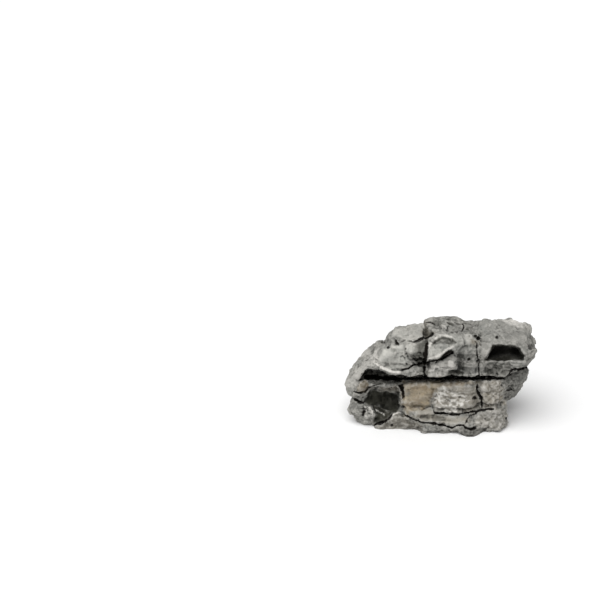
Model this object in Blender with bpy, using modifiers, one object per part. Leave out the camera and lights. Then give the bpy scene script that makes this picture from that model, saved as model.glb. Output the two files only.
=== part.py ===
"""One weathered block of layered grey limestone, of the kind that is laid in a planted aquarium.

The stone is a single piece. It is built up the way it broke out of its bed: blocks of rock with
chipped edges are fused together, the open seam between the two main layers and the joints that
cross them are cut away, and water wears the whole into ledges and lumps. A sawn-flat patch of its
underside is what it rests on.

Metres, +Z up. The face of the stone looks along -Y, and the origin is the middle of its footprint.
"""

import math

import bmesh
import bpy
from mathutils import Matrix, Vector, noise

# Driving sizes, in metres
STONE_WIDTH = 0.171
CELL = 0.0016  # size of the cells that the broken blocks are fused with
BED_RISE = 0.0062  # height of one thin bed of limestone
BED_RELIEF = 0.0014  # how far a hard bed stands out past a soft one
BED_WAVE = 0.003  # how far the beds wander up and down
BED_WAVE_LENGTH = 0.030
BED_DIP = 0.06  # how far the beds climb for each metre to the right
BED_FLAT = 0.8  # share of a bed's height that is flat, below the step to the next bed
BED_SPREAD = 7.31  # keeps neighbouring beds in different cells of the noise
LUMP_RELIEF = 0.0012  # how far the worn lumps stand out
LUMP_SPACING = 0.011
LUMP_DETAIL = (1.0, 2.1, 3, 0.4)  # dimension, gap between octaves, octaves and offset of the noise
LUMP_MIDDLE = 0.5
SWELL_RELIEF = 0.0035  # how far the broad swells of the back stand out
SWELL_SPACING = 0.034
ROUGH_BACK_FROM = 0.030  # behind this the beds step more and the swells begin
ROUGH_BACK_FULL = 0.065
TRIANGLES = 8600

# The corners below are drawn in millimetres for a stone 171 mm wide: x to the right, y from the
# front of the foot to the back, z up from the ground.
DRAWN_WIDTH = 171.0
MM = STONE_WIDTH / DRAWN_WIDTH
GROUND = 0.0
UNDER_GROUND = -4.0
CUTTER_START = 6.0  # how far in front of the face a crack's cutter begins
CRACK_TAPER = 0.3  # width of a crack at its foot, as a share of its mouth
BACK_JOINT_FOOT = 0.9  # half widths of a joint in the back, at its foot and at its mouth
BACK_JOINT_MOUTH = 2.6
BACK_JOINT_REACH = (80, 104)  # the depths that it runs between


def fresh_collection(name, shown=True):
    """A new collection in the scene. A hidden one holds blocks that only shape the stone."""
    made = bpy.data.collections.new(name)
    bpy.context.scene.collection.children.link(made)
    made.hide_render = not shown
    return made


def hull(name, points, home):
    """A convex solid around the points, which are in drawn millimetres."""
    shape = bmesh.new()
    for point in points:
        shape.verts.new(Vector(point) * MM)
    made = bmesh.ops.convex_hull(shape, input=shape.verts)
    inside = {v for v in made["geom_interior"] + made["geom_unused"] if isinstance(v, bmesh.types.BMVert)}
    bmesh.ops.delete(shape, geom=list(inside), context="VERTS")
    bmesh.ops.recalc_face_normals(shape, faces=shape.faces)
    mesh = bpy.data.meshes.new(name)
    shape.to_mesh(mesh)
    shape.free()
    solid = bpy.data.objects.new(name, mesh)
    solid.hide_render = True
    solid.display_type = "WIRE"
    home.objects.link(solid)
    return solid


def pulled_in(outline, by):
    """The outline with each corner moved towards the middle by so many millimetres."""
    middle = sum((Vector(corner) for corner in outline), Vector((0.0, 0.0))) / len(outline)
    moved = []
    for corner in outline:
        arm = Vector(corner) - middle
        moved.append(middle + arm * max(0.0, 1.0 - by / max(arm.length, 1e-6)))
    return moved, middle


def block(name, home, *sections, chip=2.0):
    """A block of rock: sections are (y, outline) from front to back, with (x, z) outlines.

    chip is how much of the edges of the first and the last section is broken off.
    """
    points = []
    for step, (depth, outline) in enumerate(sections):
        ends = {0: chip, len(sections) - 1: -chip}
        worn, _ = pulled_in(outline, chip if step in ends else 0.0)
        points += [(x, depth, z) for x, z in worn]
        points += [(x, depth + ends.get(step, 0.0), z) for x, z in outline]
    return hull(name, points, home)


def bed(name, outline, bottom, top, home, chip=3.0):
    """A flat-lying layer: its outline is (x, y) from above, and it runs from z = bottom to z = top."""
    worn, _ = pulled_in(outline, chip)
    points = [(x, y, bottom) for x, y in worn]
    points += [(x, y, (bottom + top) / 2) for x, y in outline]
    points += [(x, y, top) for x, y in worn]
    return hull(name, points, home)


def crack(name, path, width, depth, front, home):
    """A joint that opens on the front face along a path of (x, z) points and closes at its depth."""
    mouth = front - CUTTER_START
    for step, (start, end) in enumerate(zip(path, path[1:])):
        a, b = Vector(start), Vector(end)
        along = (b - a).normalized()
        side = Vector((-along.y, along.x)) * width / 2
        a, b = a - along * width / 3, b + along * width / 3
        points = [(p.x, mouth, p.y) for p in (a - side, a + side, b - side, b + side)]
        narrow = side * CRACK_TAPER
        points += [(p.x, front + depth, p.y) for p in (a - narrow, a + narrow, b - narrow, b + narrow)]
        hull(f"{name} {step + 1}", points, home)


def back_joint(name, path, home):
    """A joint that opens on the back face along a path of (x, z) points."""
    foot, mouth = BACK_JOINT_FOOT, BACK_JOINT_MOUTH
    inner, outer = BACK_JOINT_REACH
    for step, (start, end) in enumerate(zip(path, path[1:])):
        block(f"{name} {step + 1}", home,
              (inner, [(start[0] - foot, start[1]), (start[0] + foot, start[1]), (end[0] + foot, end[1]),
                       (end[0] - foot, end[1])]),
              (outer, [(start[0] - mouth, start[1] - foot), (start[0] + mouth, start[1] - foot),
                       (end[0] + mouth, end[1] + foot), (end[0] - mouth, end[1] + foot)]), chip=0)


def pit(name, centre, radius, home):
    """A round hole where a softer grain fell out."""
    shape = bmesh.new()
    bmesh.ops.create_icosphere(shape, subdivisions=2, radius=radius * MM)
    bmesh.ops.translate(shape, verts=shape.verts, vec=Vector(centre) * MM)
    mesh = bpy.data.meshes.new(name)
    shape.to_mesh(mesh)
    shape.free()
    hole = bpy.data.objects.new(name, mesh)
    hole.hide_render = True
    hole.display_type = "WIRE"
    home.objects.link(hole)


def upper_mass(home):
    """The body of the layer above the seam, which the other blocks are fused to."""
    return block("upper mass", home,
                 (18, [(-78, 48), (-72, 55), (-57, 66), (-46, 78), (-12, 84), (20, 88), (62, 86), (78, 80),
                       (82, 66), (70, 56)]),
                 (40, [(-80, 40), (-72, 48), (-58, 59), (-46, 71), (-40, 82), (-12, 92), (20, 95), (62, 93),
                       (78, 87), (84, 74), (82, 58), (72, 48)]),
                 (68, [(-64, 42), (-58, 54), (-38, 68), (0, 82), (48, 78), (68, 66), (68, 50)]),
                 (92, [(-36, 44), (-24, 58), (22, 64), (44, 54), (36, 42)]), chip=4)


def lower_mass(home):
    """The body of the layer under the seam, its flat beds, and the throat that joins the two layers."""
    block("lower mass", home,
          (26, [(-62, -3), (-72, 12), (-80, 28), (-82, 40), (-72, 46), (56, 47), (67, 44), (64, 28), (58, 22),
                (58, -3)]),
          (50, [(-60, -3), (-70, 10), (-78, 26), (-80, 44), (-60, 50), (60, 50), (74, 46), (70, 26), (59, 20),
                (56, -3)]),
          (88, [(-44, 2), (-56, 20), (-58, 46), (-30, 54), (40, 54), (56, 44), (48, 12), (34, 0)]), chip=4)
    block("throat", home,
          (44, [(-80, 40), (-78, 48), (-66, 58), (60, 60), (78, 58), (70, 40)]),
          (84, [(-60, 40), (-54, 56), (54, 60), (66, 50), (56, 40)]))
    bed("foot bed", [(-66, 34), (-52, 18), (-10, 13), (28, 3), (44, 12), (59, 32), (57, 60), (34, 76), (-8, 84),
                     (-44, 74), (-60, 54)], UNDER_GROUND, 13, home)
    bed("second bed", [(-76, 36), (-40, 26), (52, 26), (58, 42), (58, 64), (40, 84), (-4, 92), (-48, 82),
                       (-72, 62)], 13, 23, home)
    bed("third bed", [(-81, 40), (56, 30), (69, 40), (70, 62), (50, 84), (6, 93), (-38, 88), (-76, 64)],
        27, 42, home)
    bed("fourth bed", [(-60, 34), (60, 18), (80, 30), (83, 48), (78, 66), (54, 82), (8, 92), (-36, 84),
                       (-58, 64)], 55, 66, home)
    bed("fifth bed", [(-46, 34), (-40, 58), (-8, 72), (40, 74), (66, 62), (80, 46), (70, 20), (0, 16)], 74, 84, home)


def back_blocks(home):
    """The blocks that stand out of the back and the ends, each a little way off its neighbours."""
    block("back shelf", home,
          (50, [(-46, 40), (-48, 62), (14, 70), (20, 44)]),
          (90, [(-38, 44), (-38, 56), (6, 64), (12, 50)]), chip=4)
    block("back shoulder", home,
          (40, [(18, 60), (22, 86), (64, 82), (72, 62)]),
          (80, [(24, 62), (28, 74), (58, 70), (62, 60)]), chip=4)
    block("back knee", home,
          (50, [(14, -4), (12, 30), (58, 34), (58, -4)]),
          (88, [(20, -4), (22, 22), (46, 26), (48, -4)]), chip=4)
    block("back hip", home,
          (46, [(-62, -4), (-74, 20), (-70, 36), (-26, 40), (-20, -4)]),
          (86, [(-42, -4), (-52, 14), (-48, 28), (-28, 30), (-24, -4)]), chip=4)
    block("back wedge", home,
          (46, [(18, 34), (16, 52), (70, 54), (70, 36)]),
          (84, [(26, 36), (30, 48), (56, 50), (58, 40)]), chip=3)
    block("left end", home,
          (34, [(-84, 30), (-85, 38), (-60, 42), (-56, 26)]),
          (70, [(-70, 28), (-72, 38), (-50, 42), (-50, 26)]), chip=3)
    block("right end", home,
          (34, [(60, 64), (62, 78), (85, 76), (86, 68), (82, 60)]),
          (70, [(56, 62), (58, 72), (70, 70), (72, 60)]), chip=3)


def upper_layer(home):
    """The three blocks above the seam, left to right, with the plates that stand out on them."""
    block("left shoulder", home,
          (21, [(-70, 50), (-68, 56), (-62, 61), (-50, 66), (-44, 60), (-56, 57)]),
          (30, [(-84, 38), (-81, 44), (-74, 52), (-66, 59), (-57, 67), (-48, 73), (-40, 56), (-60, 50)]),
          (64, [(-70, 40), (-64, 46), (-54, 54), (-40, 58), (-40, 44)]), chip=2.5)
    block("left block", home,
          (9, [(-50, 62), (-56, 70), (-50, 77), (-40, 82), (-14, 84), (-13, 60), (-28, 58), (-43, 59)]),
          (20, [(-58, 62), (-62, 71), (-54, 79), (-44, 84), (-14, 87), (-13, 60), (-40, 58)]),
          (60, [(-50, 58), (-44, 76), (-18, 80), (-14, 58)]), chip=2)
    block("left top plate", home,
          (10, [(-43, 83), (-43, 87), (-36, 88), (-16, 88), (-15, 83)]),
          (38, [(-45, 80), (-44, 87), (-37, 91), (-31, 89), (-18, 93), (-12, 95), (-12, 80)]),
          (64, [(-38, 66), (-34, 76), (-16, 80), (-14, 66)]), chip=1.5)
    block("nose", home,
          (4, [(-28, 80), (-27, 83), (-15, 84), (-15, 80), (-19, 78)]),
          (12, [(-33, 78), (-32, 84), (-14, 87), (-13, 79), (-20, 76)]),
          (40, [(-34, 78), (-30, 86), (-14, 88), (-13, 78)]), chip=1.5)
    block("left lip", home,
          (5, [(-44, 60), (-40, 62), (-14, 65), (-14, 61), (-28, 59)]),
          (12, [(-56, 61), (-54, 64), (-37, 64), (-14, 69), (-13, 60), (-28, 58), (-44, 58)]),
          (50, [(-50, 60), (-40, 70), (-14, 70), (-14, 60)]), chip=1.5)

    block("middle block", home,
          (8, [(-12, 57), (-12, 84), (-6, 88), (16, 90), (33, 88), (33, 58), (13, 59)]),
          (18, [(-13, 56), (-13, 89), (-6, 94), (4, 96), (22, 95), (33, 92), (33, 57), (13, 58)]),
          (44, [(-13, 56), (-14, 95), (-8, 98), (0, 99.5), (16, 99.5), (24, 97), (33, 94), (36, 91), (34, 57)]),
          (74, [(-10, 58), (-6, 82), (24, 82), (32, 58)]), chip=2)
    block("shell plate", home,
          (0, [(-11, 76), (-11, 82), (-6, 87), (2, 89), (9, 86), (7, 82), (-2, 77)]),
          (5, [(-13, 73), (-13, 84), (-8, 90), (2, 94), (12, 91), (15, 87), (6, 80), (-5, 74)]),
          (40, [(-12, 74), (-10, 94), (12, 96), (14, 80)]), chip=1.0)
    block("middle lower plate", home,
          (2.5, [(-12, 57), (-12, 68), (-2, 72), (10, 75), (13, 73), (12, 66), (5, 61), (3, 58)]),
          (8, [(-13, 56), (-13, 70), (-2, 75), (10, 79), (16, 75), (15, 66), (7, 60), (5, 57)]),
          (40, [(-12, 58), (-12, 72), (14, 76), (14, 58)]), chip=1.0)

    block("right block", home,
          (7, [(36, 57), (36, 84), (44, 88), (66, 86), (76, 80), (78, 70), (64, 65), (57, 57)]),
          (20, [(35, 56), (35, 90), (42, 93), (60, 93), (76, 88), (84, 81), (86, 70), (80, 64), (65, 63),
                (59, 56)]),
          (42, [(35, 56), (35, 93), (40, 97), (48, 99), (62, 98), (72, 97), (82, 91), (87, 82), (87.5, 70),
                (87, 60), (79, 53), (60, 54)]),
          (76, [(40, 54), (44, 78), (66, 72), (70, 56)]), chip=2.5)
    block("right brow", home,
          (5, [(40, 80), (44, 86), (66, 85), (74, 79), (68, 78)]),
          (14, [(37, 76), (38, 88), (46, 91), (66, 90), (80, 82), (80, 76)]),
          (50, [(40, 76), (44, 92), (70, 90), (78, 76)]), chip=1.5)


def lower_layer(home):
    """The blocks under the seam, left to right, and the plates of the foot."""
    block("left jowl", home,
          (22, [(-78, 30), (-80, 36), (-76, 41), (-64, 41), (-58, 37), (-62, 32)]),
          (30, [(-84, 30), (-86, 37), (-82, 43), (-64, 45), (-54, 40), (-60, 30), (-78, 26)]),
          (60, [(-78, 28), (-80, 40), (-60, 44), (-56, 30)]), chip=1.5)
    block("jowl lip", home,
          (18, [(-64, 40), (-62, 43), (-40, 44), (-38, 41)]),
          (26, [(-66, 39), (-62, 45), (-38, 46), (-36, 40)]),
          (60, [(-66, 38), (-60, 46), (-38, 46), (-36, 38)]), chip=1.0)
    block("pebble", home,
          (19, [(-74, 39), (-74, 43), (-70, 45), (-67, 43), (-67, 40), (-70, 38)]),
          (25, [(-77, 38), (-77, 45), (-71, 48), (-65, 46), (-64, 40), (-69, 36)]),
          (44, [(-74, 38), (-74, 46), (-66, 46), (-66, 38)]), chip=1.0)
    block("left lump", home,
          (19, [(-74, 14), (-72, 21), (-60, 20), (-54, 12), (-57, 4), (-66, 2), (-72, 8)]),
          (27, [(-80, 14), (-82, 18), (-78, 25), (-58, 24), (-50, 14), (-53, 4), (-60, -4), (-68, -4), (-76, 6)]),
          (60, [(-74, 8), (-76, 24), (-50, 24), (-50, -2), (-66, -2)]), chip=2.0)
    block("tan block", home,
          (13, [(-34, 27), (-34, 44), (-30, 48), (-6, 49), (-6, 24), (-20, 22)]),
          (18, [(-37, 24), (-37, 46), (-33, 49), (-4, 50), (-4, 20), (-24, 19)]),
          (60, [(-36, 22), (-34, 48), (-4, 50), (-4, 20)]), chip=2.0)
    block("veined block", home,
          (8, [(-2, 26), (-2, 45), (6, 48), (28, 50), (32, 36), (31, 27), (12, 24)]),
          (13, [(-5, 22), (-5, 48), (8, 50), (32, 51), (36, 38), (35, 24), (12, 20)]),
          (60, [(-4, 22), (-4, 50), (34, 50), (34, 22)]), chip=2.0)
    block("right foot", home,
          (11, [(38, 28), (37, 44), (42, 50), (54, 49), (57, 38), (54, 27)]),
          (20, [(35, 24), (34, 46), (38, 52), (58, 52), (64, 40), (61, 24)]),
          (60, [(36, 22), (36, 50), (60, 50), (60, 22)]), chip=2.0)
    block("right toe", home,
          (9, [(34, 5), (34, 18), (40, 22), (57, 22), (61, 12), (57, 3), (45, 1)]),
          (20, [(32, 0), (32, 22), (40, 26), (65, 25), (67, 14), (66, 4), (64, -4), (38, -4)]),
          (60, [(34, -4), (34, 22), (62, 22), (60, -4)]), chip=2.0)
    block("right cheek", home,
          (24, [(58, 30), (57, 44), (62, 50), (73, 49), (73, 36), (67, 28)]),
          (36, [(60, 20), (58, 46), (62, 56), (82, 59), (84, 50), (82, 40), (80, 31), (76, 24), (67, 18)]),
          (70, [(58, 26), (58, 52), (76, 54), (72, 30)]), chip=2.5)
    block("foot band", home,
          (8, [(-24, 14), (-22, 20), (-4, 20), (10, 17), (30, 20), (31, 8), (16, 6), (-8, 8)]),
          (14, [(-32, 16), (-30, 22), (-4, 22), (10, 19), (34, 22), (34, 4), (16, 2), (-14, 4)]),
          (60, [(-30, 4), (-30, 22), (32, 22), (32, 2)]), chip=2.0)
    block("left foot plate", home,
          (15, [(-54, 3), (-46, 11), (-37, 15), (-24, 11), (-16, 4), (-16, -4), (-50, -4)]),
          (21, [(-62, 3), (-48, 15), (-37, 19), (-22, 14), (-12, 6), (-12, -4), (-58, -4)]),
          (60, [(-54, 4), (-40, 18), (-14, 14), (-14, -4), (-54, -4)]), chip=1.5)
    block("middle foot plate", home,
          (5, [(-18, -4), (-14, 4), (10, 6), (18, 4), (16, -4)]),
          (13, [(-22, -4), (-16, 7), (10, 9), (22, 6), (20, -4)]),
          (50, [(-18, -4), (-14, 8), (20, 8), (20, -4)]), chip=1.5)
    block("heel", home,
          (0, [(24, -4), (24, 3), (30, 4), (34, 3), (34, -4)]),
          (14, [(12, -4), (14, 7), (20, 10), (30, 8), (38, 10), (48, 6), (44, -4)]),
          (50, [(14, -4), (16, 10), (48, 10), (46, -4)]), chip=1.5)


def openings(home):
    """The seam, the cavities at its left end, the joints that cross the layers, and the pits."""
    block("seam", home,
          (-8, [(-76, 46), (-75, 54), (-66, 61), (-52, 61), (-40, 58), (-14, 56.5), (34, 56), (64, 58), (64, 55),
                (46, 53), (10, 52.5), (-30, 50.5), (-56, 48)]),
          (44, [(-70, 42), (-62, 56), (-20, 56), (40, 56), (52, 51), (10, 46), (-40, 41)]), chip=0)
    block("left cavity", home,
          (-8, [(-62, 28), (-60, 37), (-52, 40), (-38, 41), (-35, 34), (-36, 20), (-46, 14), (-58, 22)]),
          (27, [(-58, 28), (-56, 36), (-40, 38), (-38, 24), (-48, 18)]), chip=0)
    block("under the nose", home,
          (-8, [(-31, 75), (-14, 79), (-12, 66), (-24, 66)]),
          (24, [(-26, 74), (-14, 77), (-13, 66), (-22, 67)]), chip=0)
    block("notch", home,
          (-8, [(36, 71), (44, 88), (68, 88), (79, 76), (78, 71)]),
          (26, [(44, 73), (49, 80), (66, 80), (72, 74)]), chip=0)
    block("top cleft", home,
          (-8, [(-14, 84), (-9, 99), (-16, 104), (-19, 90)]),
          (38, [(-15, 92), (-11, 99), (-15, 104), (-18, 96)]), chip=0)
    block("below the brow", home,
          (-8, [(44, 60), (42, 70), (62, 71), (64, 64), (58, 57)]),
          (9, [(46, 62), (46, 68), (58, 69), (56, 62)]), chip=0)
    crack("left joint", [(-12.5, 98), (-13, 84), (-12, 70), (-13, 54)], 3.0, 18, 6, home)
    crack("right joint", [(34, 98), (34, 84), (33, 70), (34, 54)], 2.6, 14, 6, home)
    crack("shell joint", [(-14, 71), (-3, 74), (6, 80), (12, 82)], 2.8, 10, 2, home)
    crack("lip joint", [(-43, 61), (-30, 65), (-16, 69)], 2.2, 10, 6, home)
    crack("plate joint", [(-40, 82), (-26, 86), (-12, 90), (-6, 93)], 2.2, 9, 8, home)
    crack("tan joint", [(-37, 49), (-35, 42), (-36, 30)], 3.4, 12, 14, home)
    crack("foot joint", [(-6, 21), (12, 18), (30, 21), (35, 22), (52, 25)], 2.6, 12, 8, home)
    crack("foot crack", [(-33, 19), (-18, 12), (8, 8), (16, 11), (24, 7), (33, 9)], 2.6, 10, 8, home)
    crack("right foot joint", [(33, 48), (36, 38), (36, 24)], 2.6, 10, 9, home)
    crack("lump joint", [(-70, 24), (-70, 10)], 2.2, 7, 20, home)
    back_joint("back left joint", [(-22, -6), (-17, 22), (-20, 44)], home)
    back_joint("back right joint", [(12, 24), (15, 44), (13, 62)], home)
    pit("top pit", (33, 8, 90), 3.0, home)
    pit("brow pit", (50, 6, 87), 1.8, home)
    pit("middle pit", (25, 5, 71), 1.8, home)


def boolean(target, operation, collection):
    cut = target.modifiers.new(operation.lower(), "BOOLEAN")
    cut.operation = operation
    cut.operand_type = "COLLECTION"
    cut.collection = collection
    cut.solver = "EXACT"
    return cut


def bake_modifiers(target):
    """Makes the mesh as the modifiers leave it the object's own."""
    graph = bpy.context.evaluated_depsgraph_get()
    target.data = bpy.data.meshes.new_from_object(target.evaluated_get(graph))
    target.modifiers.clear()


def hardness(bed_number):
    """A fixed value from -1 to 1 for each thin bed."""
    return noise.cell(Vector((bed_number * BED_SPREAD, 0.5, 0.5))) * 2 - 1


def bed_step(point):
    """How far the bed at this height stands out, from -1 to 1, with a steep step between two beds."""
    wave = noise.noise(point / BED_WAVE_LENGTH) * BED_WAVE
    level = (point.z + BED_DIP * point.x + wave) / BED_RISE
    number = math.floor(level)
    step = min(1.0, max(0.0, (level - number - BED_FLAT) / (1 - BED_FLAT)))
    return hardness(number) + (hardness(number + 1) - hardness(number)) * step


def wear(mesh):
    """Water wears the soft beds back, most of all behind, and leaves low lumps all over."""
    moves = []
    for vertex in mesh.vertices:
        back = (vertex.co.y - ROUGH_BACK_FROM) / (ROUGH_BACK_FULL - ROUGH_BACK_FROM)
        back = min(1.0, max(0.0, back))
        sideways = 1.0 - abs(vertex.normal.z)
        lump = noise.hetero_terrain(vertex.co / LUMP_SPACING, *LUMP_DETAIL)
        swell = noise.noise(vertex.co / SWELL_SPACING) * back
        height = bed_step(vertex.co) * BED_RELIEF * (1 + back) * sideways
        height += (lump - LUMP_MIDDLE) * LUMP_RELIEF + swell * SWELL_RELIEF
        moves.append(vertex.normal * height)
    for vertex, move in zip(mesh.vertices, moves):
        vertex.co += move


def limestone():
    finish = bpy.data.materials.new("grey limestone")
    finish.use_nodes = True
    surface = finish.node_tree.nodes["Principled BSDF"]
    surface.inputs["Base Color"].default_value = (0.26, 0.255, 0.24, 1.0)
    surface.inputs["Roughness"].default_value = 0.85
    surface.inputs["Metallic"].default_value = 0.0
    return finish


def stand_on_origin(mesh):
    """Moves the mesh so that the middle of its box is over the origin and its foot is at z = 0."""
    low = Vector(map(min, *(v.co for v in mesh.vertices)))
    high = Vector(map(max, *(v.co for v in mesh.vertices)))
    mesh.transform(Matrix.Translation((-(low.x + high.x) / 2, -(low.y + high.y) / 2, -low.z)))


def main():
    for old in list(bpy.data.objects):
        bpy.data.objects.remove(old)
    part = fresh_collection("aquarium rock")
    blocks = fresh_collection("blocks", shown=False)
    cutters = fresh_collection("cutters", shown=False)
    ground = fresh_collection("ground", shown=False)

    lower_mass(blocks)
    back_blocks(blocks)
    upper_layer(blocks)
    lower_layer(blocks)
    openings(cutters)
    slab = [(-150, GROUND), (150, GROUND), (150, -60), (-150, -60)]
    block("ground", ground, (-80, slab), (200, slab), chip=0)

    stone = upper_mass(part)
    stone.name = "stone"
    boolean(stone, "UNION", blocks)
    boolean(stone, "DIFFERENCE", cutters)
    fuse = stone.modifiers.new("fuse", "REMESH")
    fuse.mode = "VOXEL"
    fuse.voxel_size = CELL
    bake_modifiers(stone)
    wear(stone.data)

    thin = stone.modifiers.new("fewer faces", "DECIMATE")
    stone.data.calc_loop_triangles()
    thin.ratio = TRIANGLES / len(stone.data.loop_triangles)
    boolean(stone, "DIFFERENCE", ground)
    bake_modifiers(stone)
    stand_on_origin(stone.data)
    stone.data.materials.clear()
    stone.data.materials.append(limestone())
    stone.data.shade_flat()
    stone.hide_render = False
    stone.display_type = "TEXTURED"


main()
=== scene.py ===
# %% [markdown]
# # Dressing a block of layered limestone
#
# The part is one natural stone: two thick layers of grey limestone with a deep open seam between
# them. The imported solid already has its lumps, ledges and hollows. This lesson gives it the fine
# surface of broken and weathered rock, and the minerals that colour it.

# %% Load the solid stone
import math

import bmesh
import bpy
import numpy as np
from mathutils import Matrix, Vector, noise
from mathutils.bvhtree import BVHTree


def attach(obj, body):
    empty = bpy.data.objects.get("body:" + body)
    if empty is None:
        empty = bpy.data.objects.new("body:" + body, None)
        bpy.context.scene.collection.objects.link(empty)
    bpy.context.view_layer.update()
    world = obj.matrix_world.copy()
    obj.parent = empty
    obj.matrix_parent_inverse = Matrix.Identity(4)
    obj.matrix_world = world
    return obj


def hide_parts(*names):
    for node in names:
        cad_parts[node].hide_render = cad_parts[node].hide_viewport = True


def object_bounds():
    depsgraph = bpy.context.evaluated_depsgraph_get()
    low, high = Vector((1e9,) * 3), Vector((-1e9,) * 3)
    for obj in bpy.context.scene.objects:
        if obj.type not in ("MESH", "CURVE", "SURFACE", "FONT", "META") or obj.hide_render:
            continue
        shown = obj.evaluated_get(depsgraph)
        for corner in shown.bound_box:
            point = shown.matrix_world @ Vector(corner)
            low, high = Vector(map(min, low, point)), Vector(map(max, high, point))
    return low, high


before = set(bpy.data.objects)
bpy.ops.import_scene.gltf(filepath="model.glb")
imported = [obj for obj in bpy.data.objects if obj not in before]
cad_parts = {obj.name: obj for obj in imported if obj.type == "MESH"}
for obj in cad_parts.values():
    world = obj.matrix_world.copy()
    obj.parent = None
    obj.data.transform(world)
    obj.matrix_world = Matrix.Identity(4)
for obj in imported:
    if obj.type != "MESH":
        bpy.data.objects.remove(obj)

cad_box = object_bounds()
print("solid stone, lowest and highest corner:", cad_box)

MM = 0.001
NOISE_SEED = 1795471533

noise.seed_set(NOISE_SEED)  # without this, Blender takes its seed from the clock

# %% [markdown]
# ## Where the viewer stands
#
# A stone like this is judged by its face, so the face is drawn as a viewer sees it. That needs the
# viewer's place before anything else. The camera could be turned by hand until it looks right.
# Working it out from a few real lengths is better here, because the same lengths then say which
# spot of the rock lies behind each drawn spot.

# %% Place the camera
LENS = 85.0
SENSOR = 36.0
LOOK_DOWN = math.radians(22)
PICTURE_WIDTH = 540 * MM  # width of the view at the front foot of the stone
FOOT_RIGHT_OF_MIDDLE = 126.9 * MM  # place of the front foot in the view
FOOT_BELOW_MIDDLE = 124.2 * MM

to_viewer = Vector((0.0, -math.cos(LOOK_DOWN), math.sin(LOOK_DOWN)))
view_up = Vector((0.0, math.sin(LOOK_DOWN), math.cos(LOOK_DOWN)))
view_right = Vector((1.0, 0.0, 0.0))
view_distance = PICTURE_WIDTH / 2 / (SENSOR / 2 / LENS)
front_foot = Vector((0.0, cad_box[0][1], 0.0))
view_middle = front_foot - view_right * FOOT_RIGHT_OF_MIDDLE + view_up * FOOT_BELOW_MIDDLE
eye = view_middle + to_viewer * view_distance

camera = bpy.data.objects.new("camera", bpy.data.cameras.new("camera"))
camera.data.lens = LENS
camera.data.sensor_width = SENSOR
camera.location = eye
camera.rotation_euler = (-to_viewer).to_track_quat("-Z", "Y").to_euler()
bpy.context.scene.collection.objects.link(camera)
bpy.context.scene.camera = camera
print("the camera is", round(view_distance, 3), "m from the stone")

# %% [markdown]
# ## A fine copy to carve
#
# The solid has a few thousand flat triangles. Carving needs many small, even ones. A voxel remesh
# makes them without caring how the old faces ran, and it keeps the stone one closed skin. A little
# smoothing then takes off the corners of the old triangles, because the sharp edges of real rock
# come from how it breaks, which is added after this.

# %% Copy the stone and remesh it
FINE_CELL = 0.62 * MM
TOUCHING = 0.001 * MM  # corners nearer than this become one
ROUNDING_TURNS = 5


def run_modifier(piece, kind, **settings):
    """Adds a modifier, applies it, and leaves the piece with the mesh that it made."""
    step = piece.modifiers.new(kind.lower(), kind)
    for name, value in settings.items():
        setattr(step, name, value)
    graph = bpy.context.evaluated_depsgraph_get()
    piece.data = bpy.data.meshes.new_from_object(piece.evaluated_get(graph))
    piece.modifiers.clear()


def smooth(piece, turns):
    """Moves each point half way to the middle of its neighbours, so many turns over."""
    run_modifier(piece, "SMOOTH", factor=0.5, iterations=turns)


def weld(mesh):
    """Joins the loose corners of a mesh that was stored face by face."""
    shape = bmesh.new()
    shape.from_mesh(mesh)
    bmesh.ops.remove_doubles(shape, verts=shape.verts, dist=TOUCHING)
    shape.to_mesh(mesh)
    shape.free()


def remesh(piece):
    """Gives the piece a new skin of small, even faces."""
    run_modifier(piece, "REMESH", mode="VOXEL", voxel_size=FINE_CELL)


rock = bpy.data.objects.new("limestone_block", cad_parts["stone"].data.copy())
bpy.context.scene.collection.objects.link(rock)
weld(rock.data)
remesh(rock)
smooth(rock, ROUNDING_TURNS)
print("fine copy:", len(rock.data.vertices), "points")

# %% [markdown]
# ## Reading and moving points in bulk
#
# Moving over two hundred thousand points one at a time is slow in Python, so their places go into NumPy
# arrays. All lengths from here on are in millimetres, which suits rock detail.

# %% Helpers for points, normals and noise


def places_of(mesh):
    flat = np.empty(len(mesh.vertices) * 3)
    mesh.vertices.foreach_get("co", flat)
    return flat.reshape(-1, 3) / MM


def normals_of(mesh):
    flat = np.empty(len(mesh.vertices) * 3)
    mesh.vertex_normals.foreach_get("vector", flat)
    return flat.reshape(-1, 3)


def put_points(piece, places):
    """Puts every point of the piece at its new place."""
    piece.data.vertices.foreach_set("co", (places * MM).ravel())
    piece.data.update()


def move_out(piece, heights):
    """Moves each point along its normal by its own height."""
    put_points(piece, places_of(piece.data) + normals_of(piece.data) * heights[:, None])


def sample(pattern, places, size):
    """The value of one of Blender's noise patterns at each place, for lumps of the given size."""
    return np.array([pattern(place) for place in (places / size).tolist()])


def smooth_step(values, low, high):
    """0 at low, 1 at high, and a slope with soft ends between them. low may be the higher of the two."""
    t = np.clip((values - low) / (high - low), 0.0, 1.0)
    return t * t * (3 - 2 * t)


size_now = np.ptp(places_of(rock.data), axis=0)
print("the fine copy is", np.round(size_now, 1), "mm wide, deep and high")

# %% [markdown]
# ## Closing the seam
#
# The open seam is the strongest line of this stone. The remesh rounded its lips and left it wider
# than it should be, so the lip above sinks and the lip below rises a little. The upright joint at
# the right is a hairline on the real stone, so its two sides close up in the same way. A smooth move
# does this. Filling the seam with more rock would hide the layers behind it.

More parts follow.
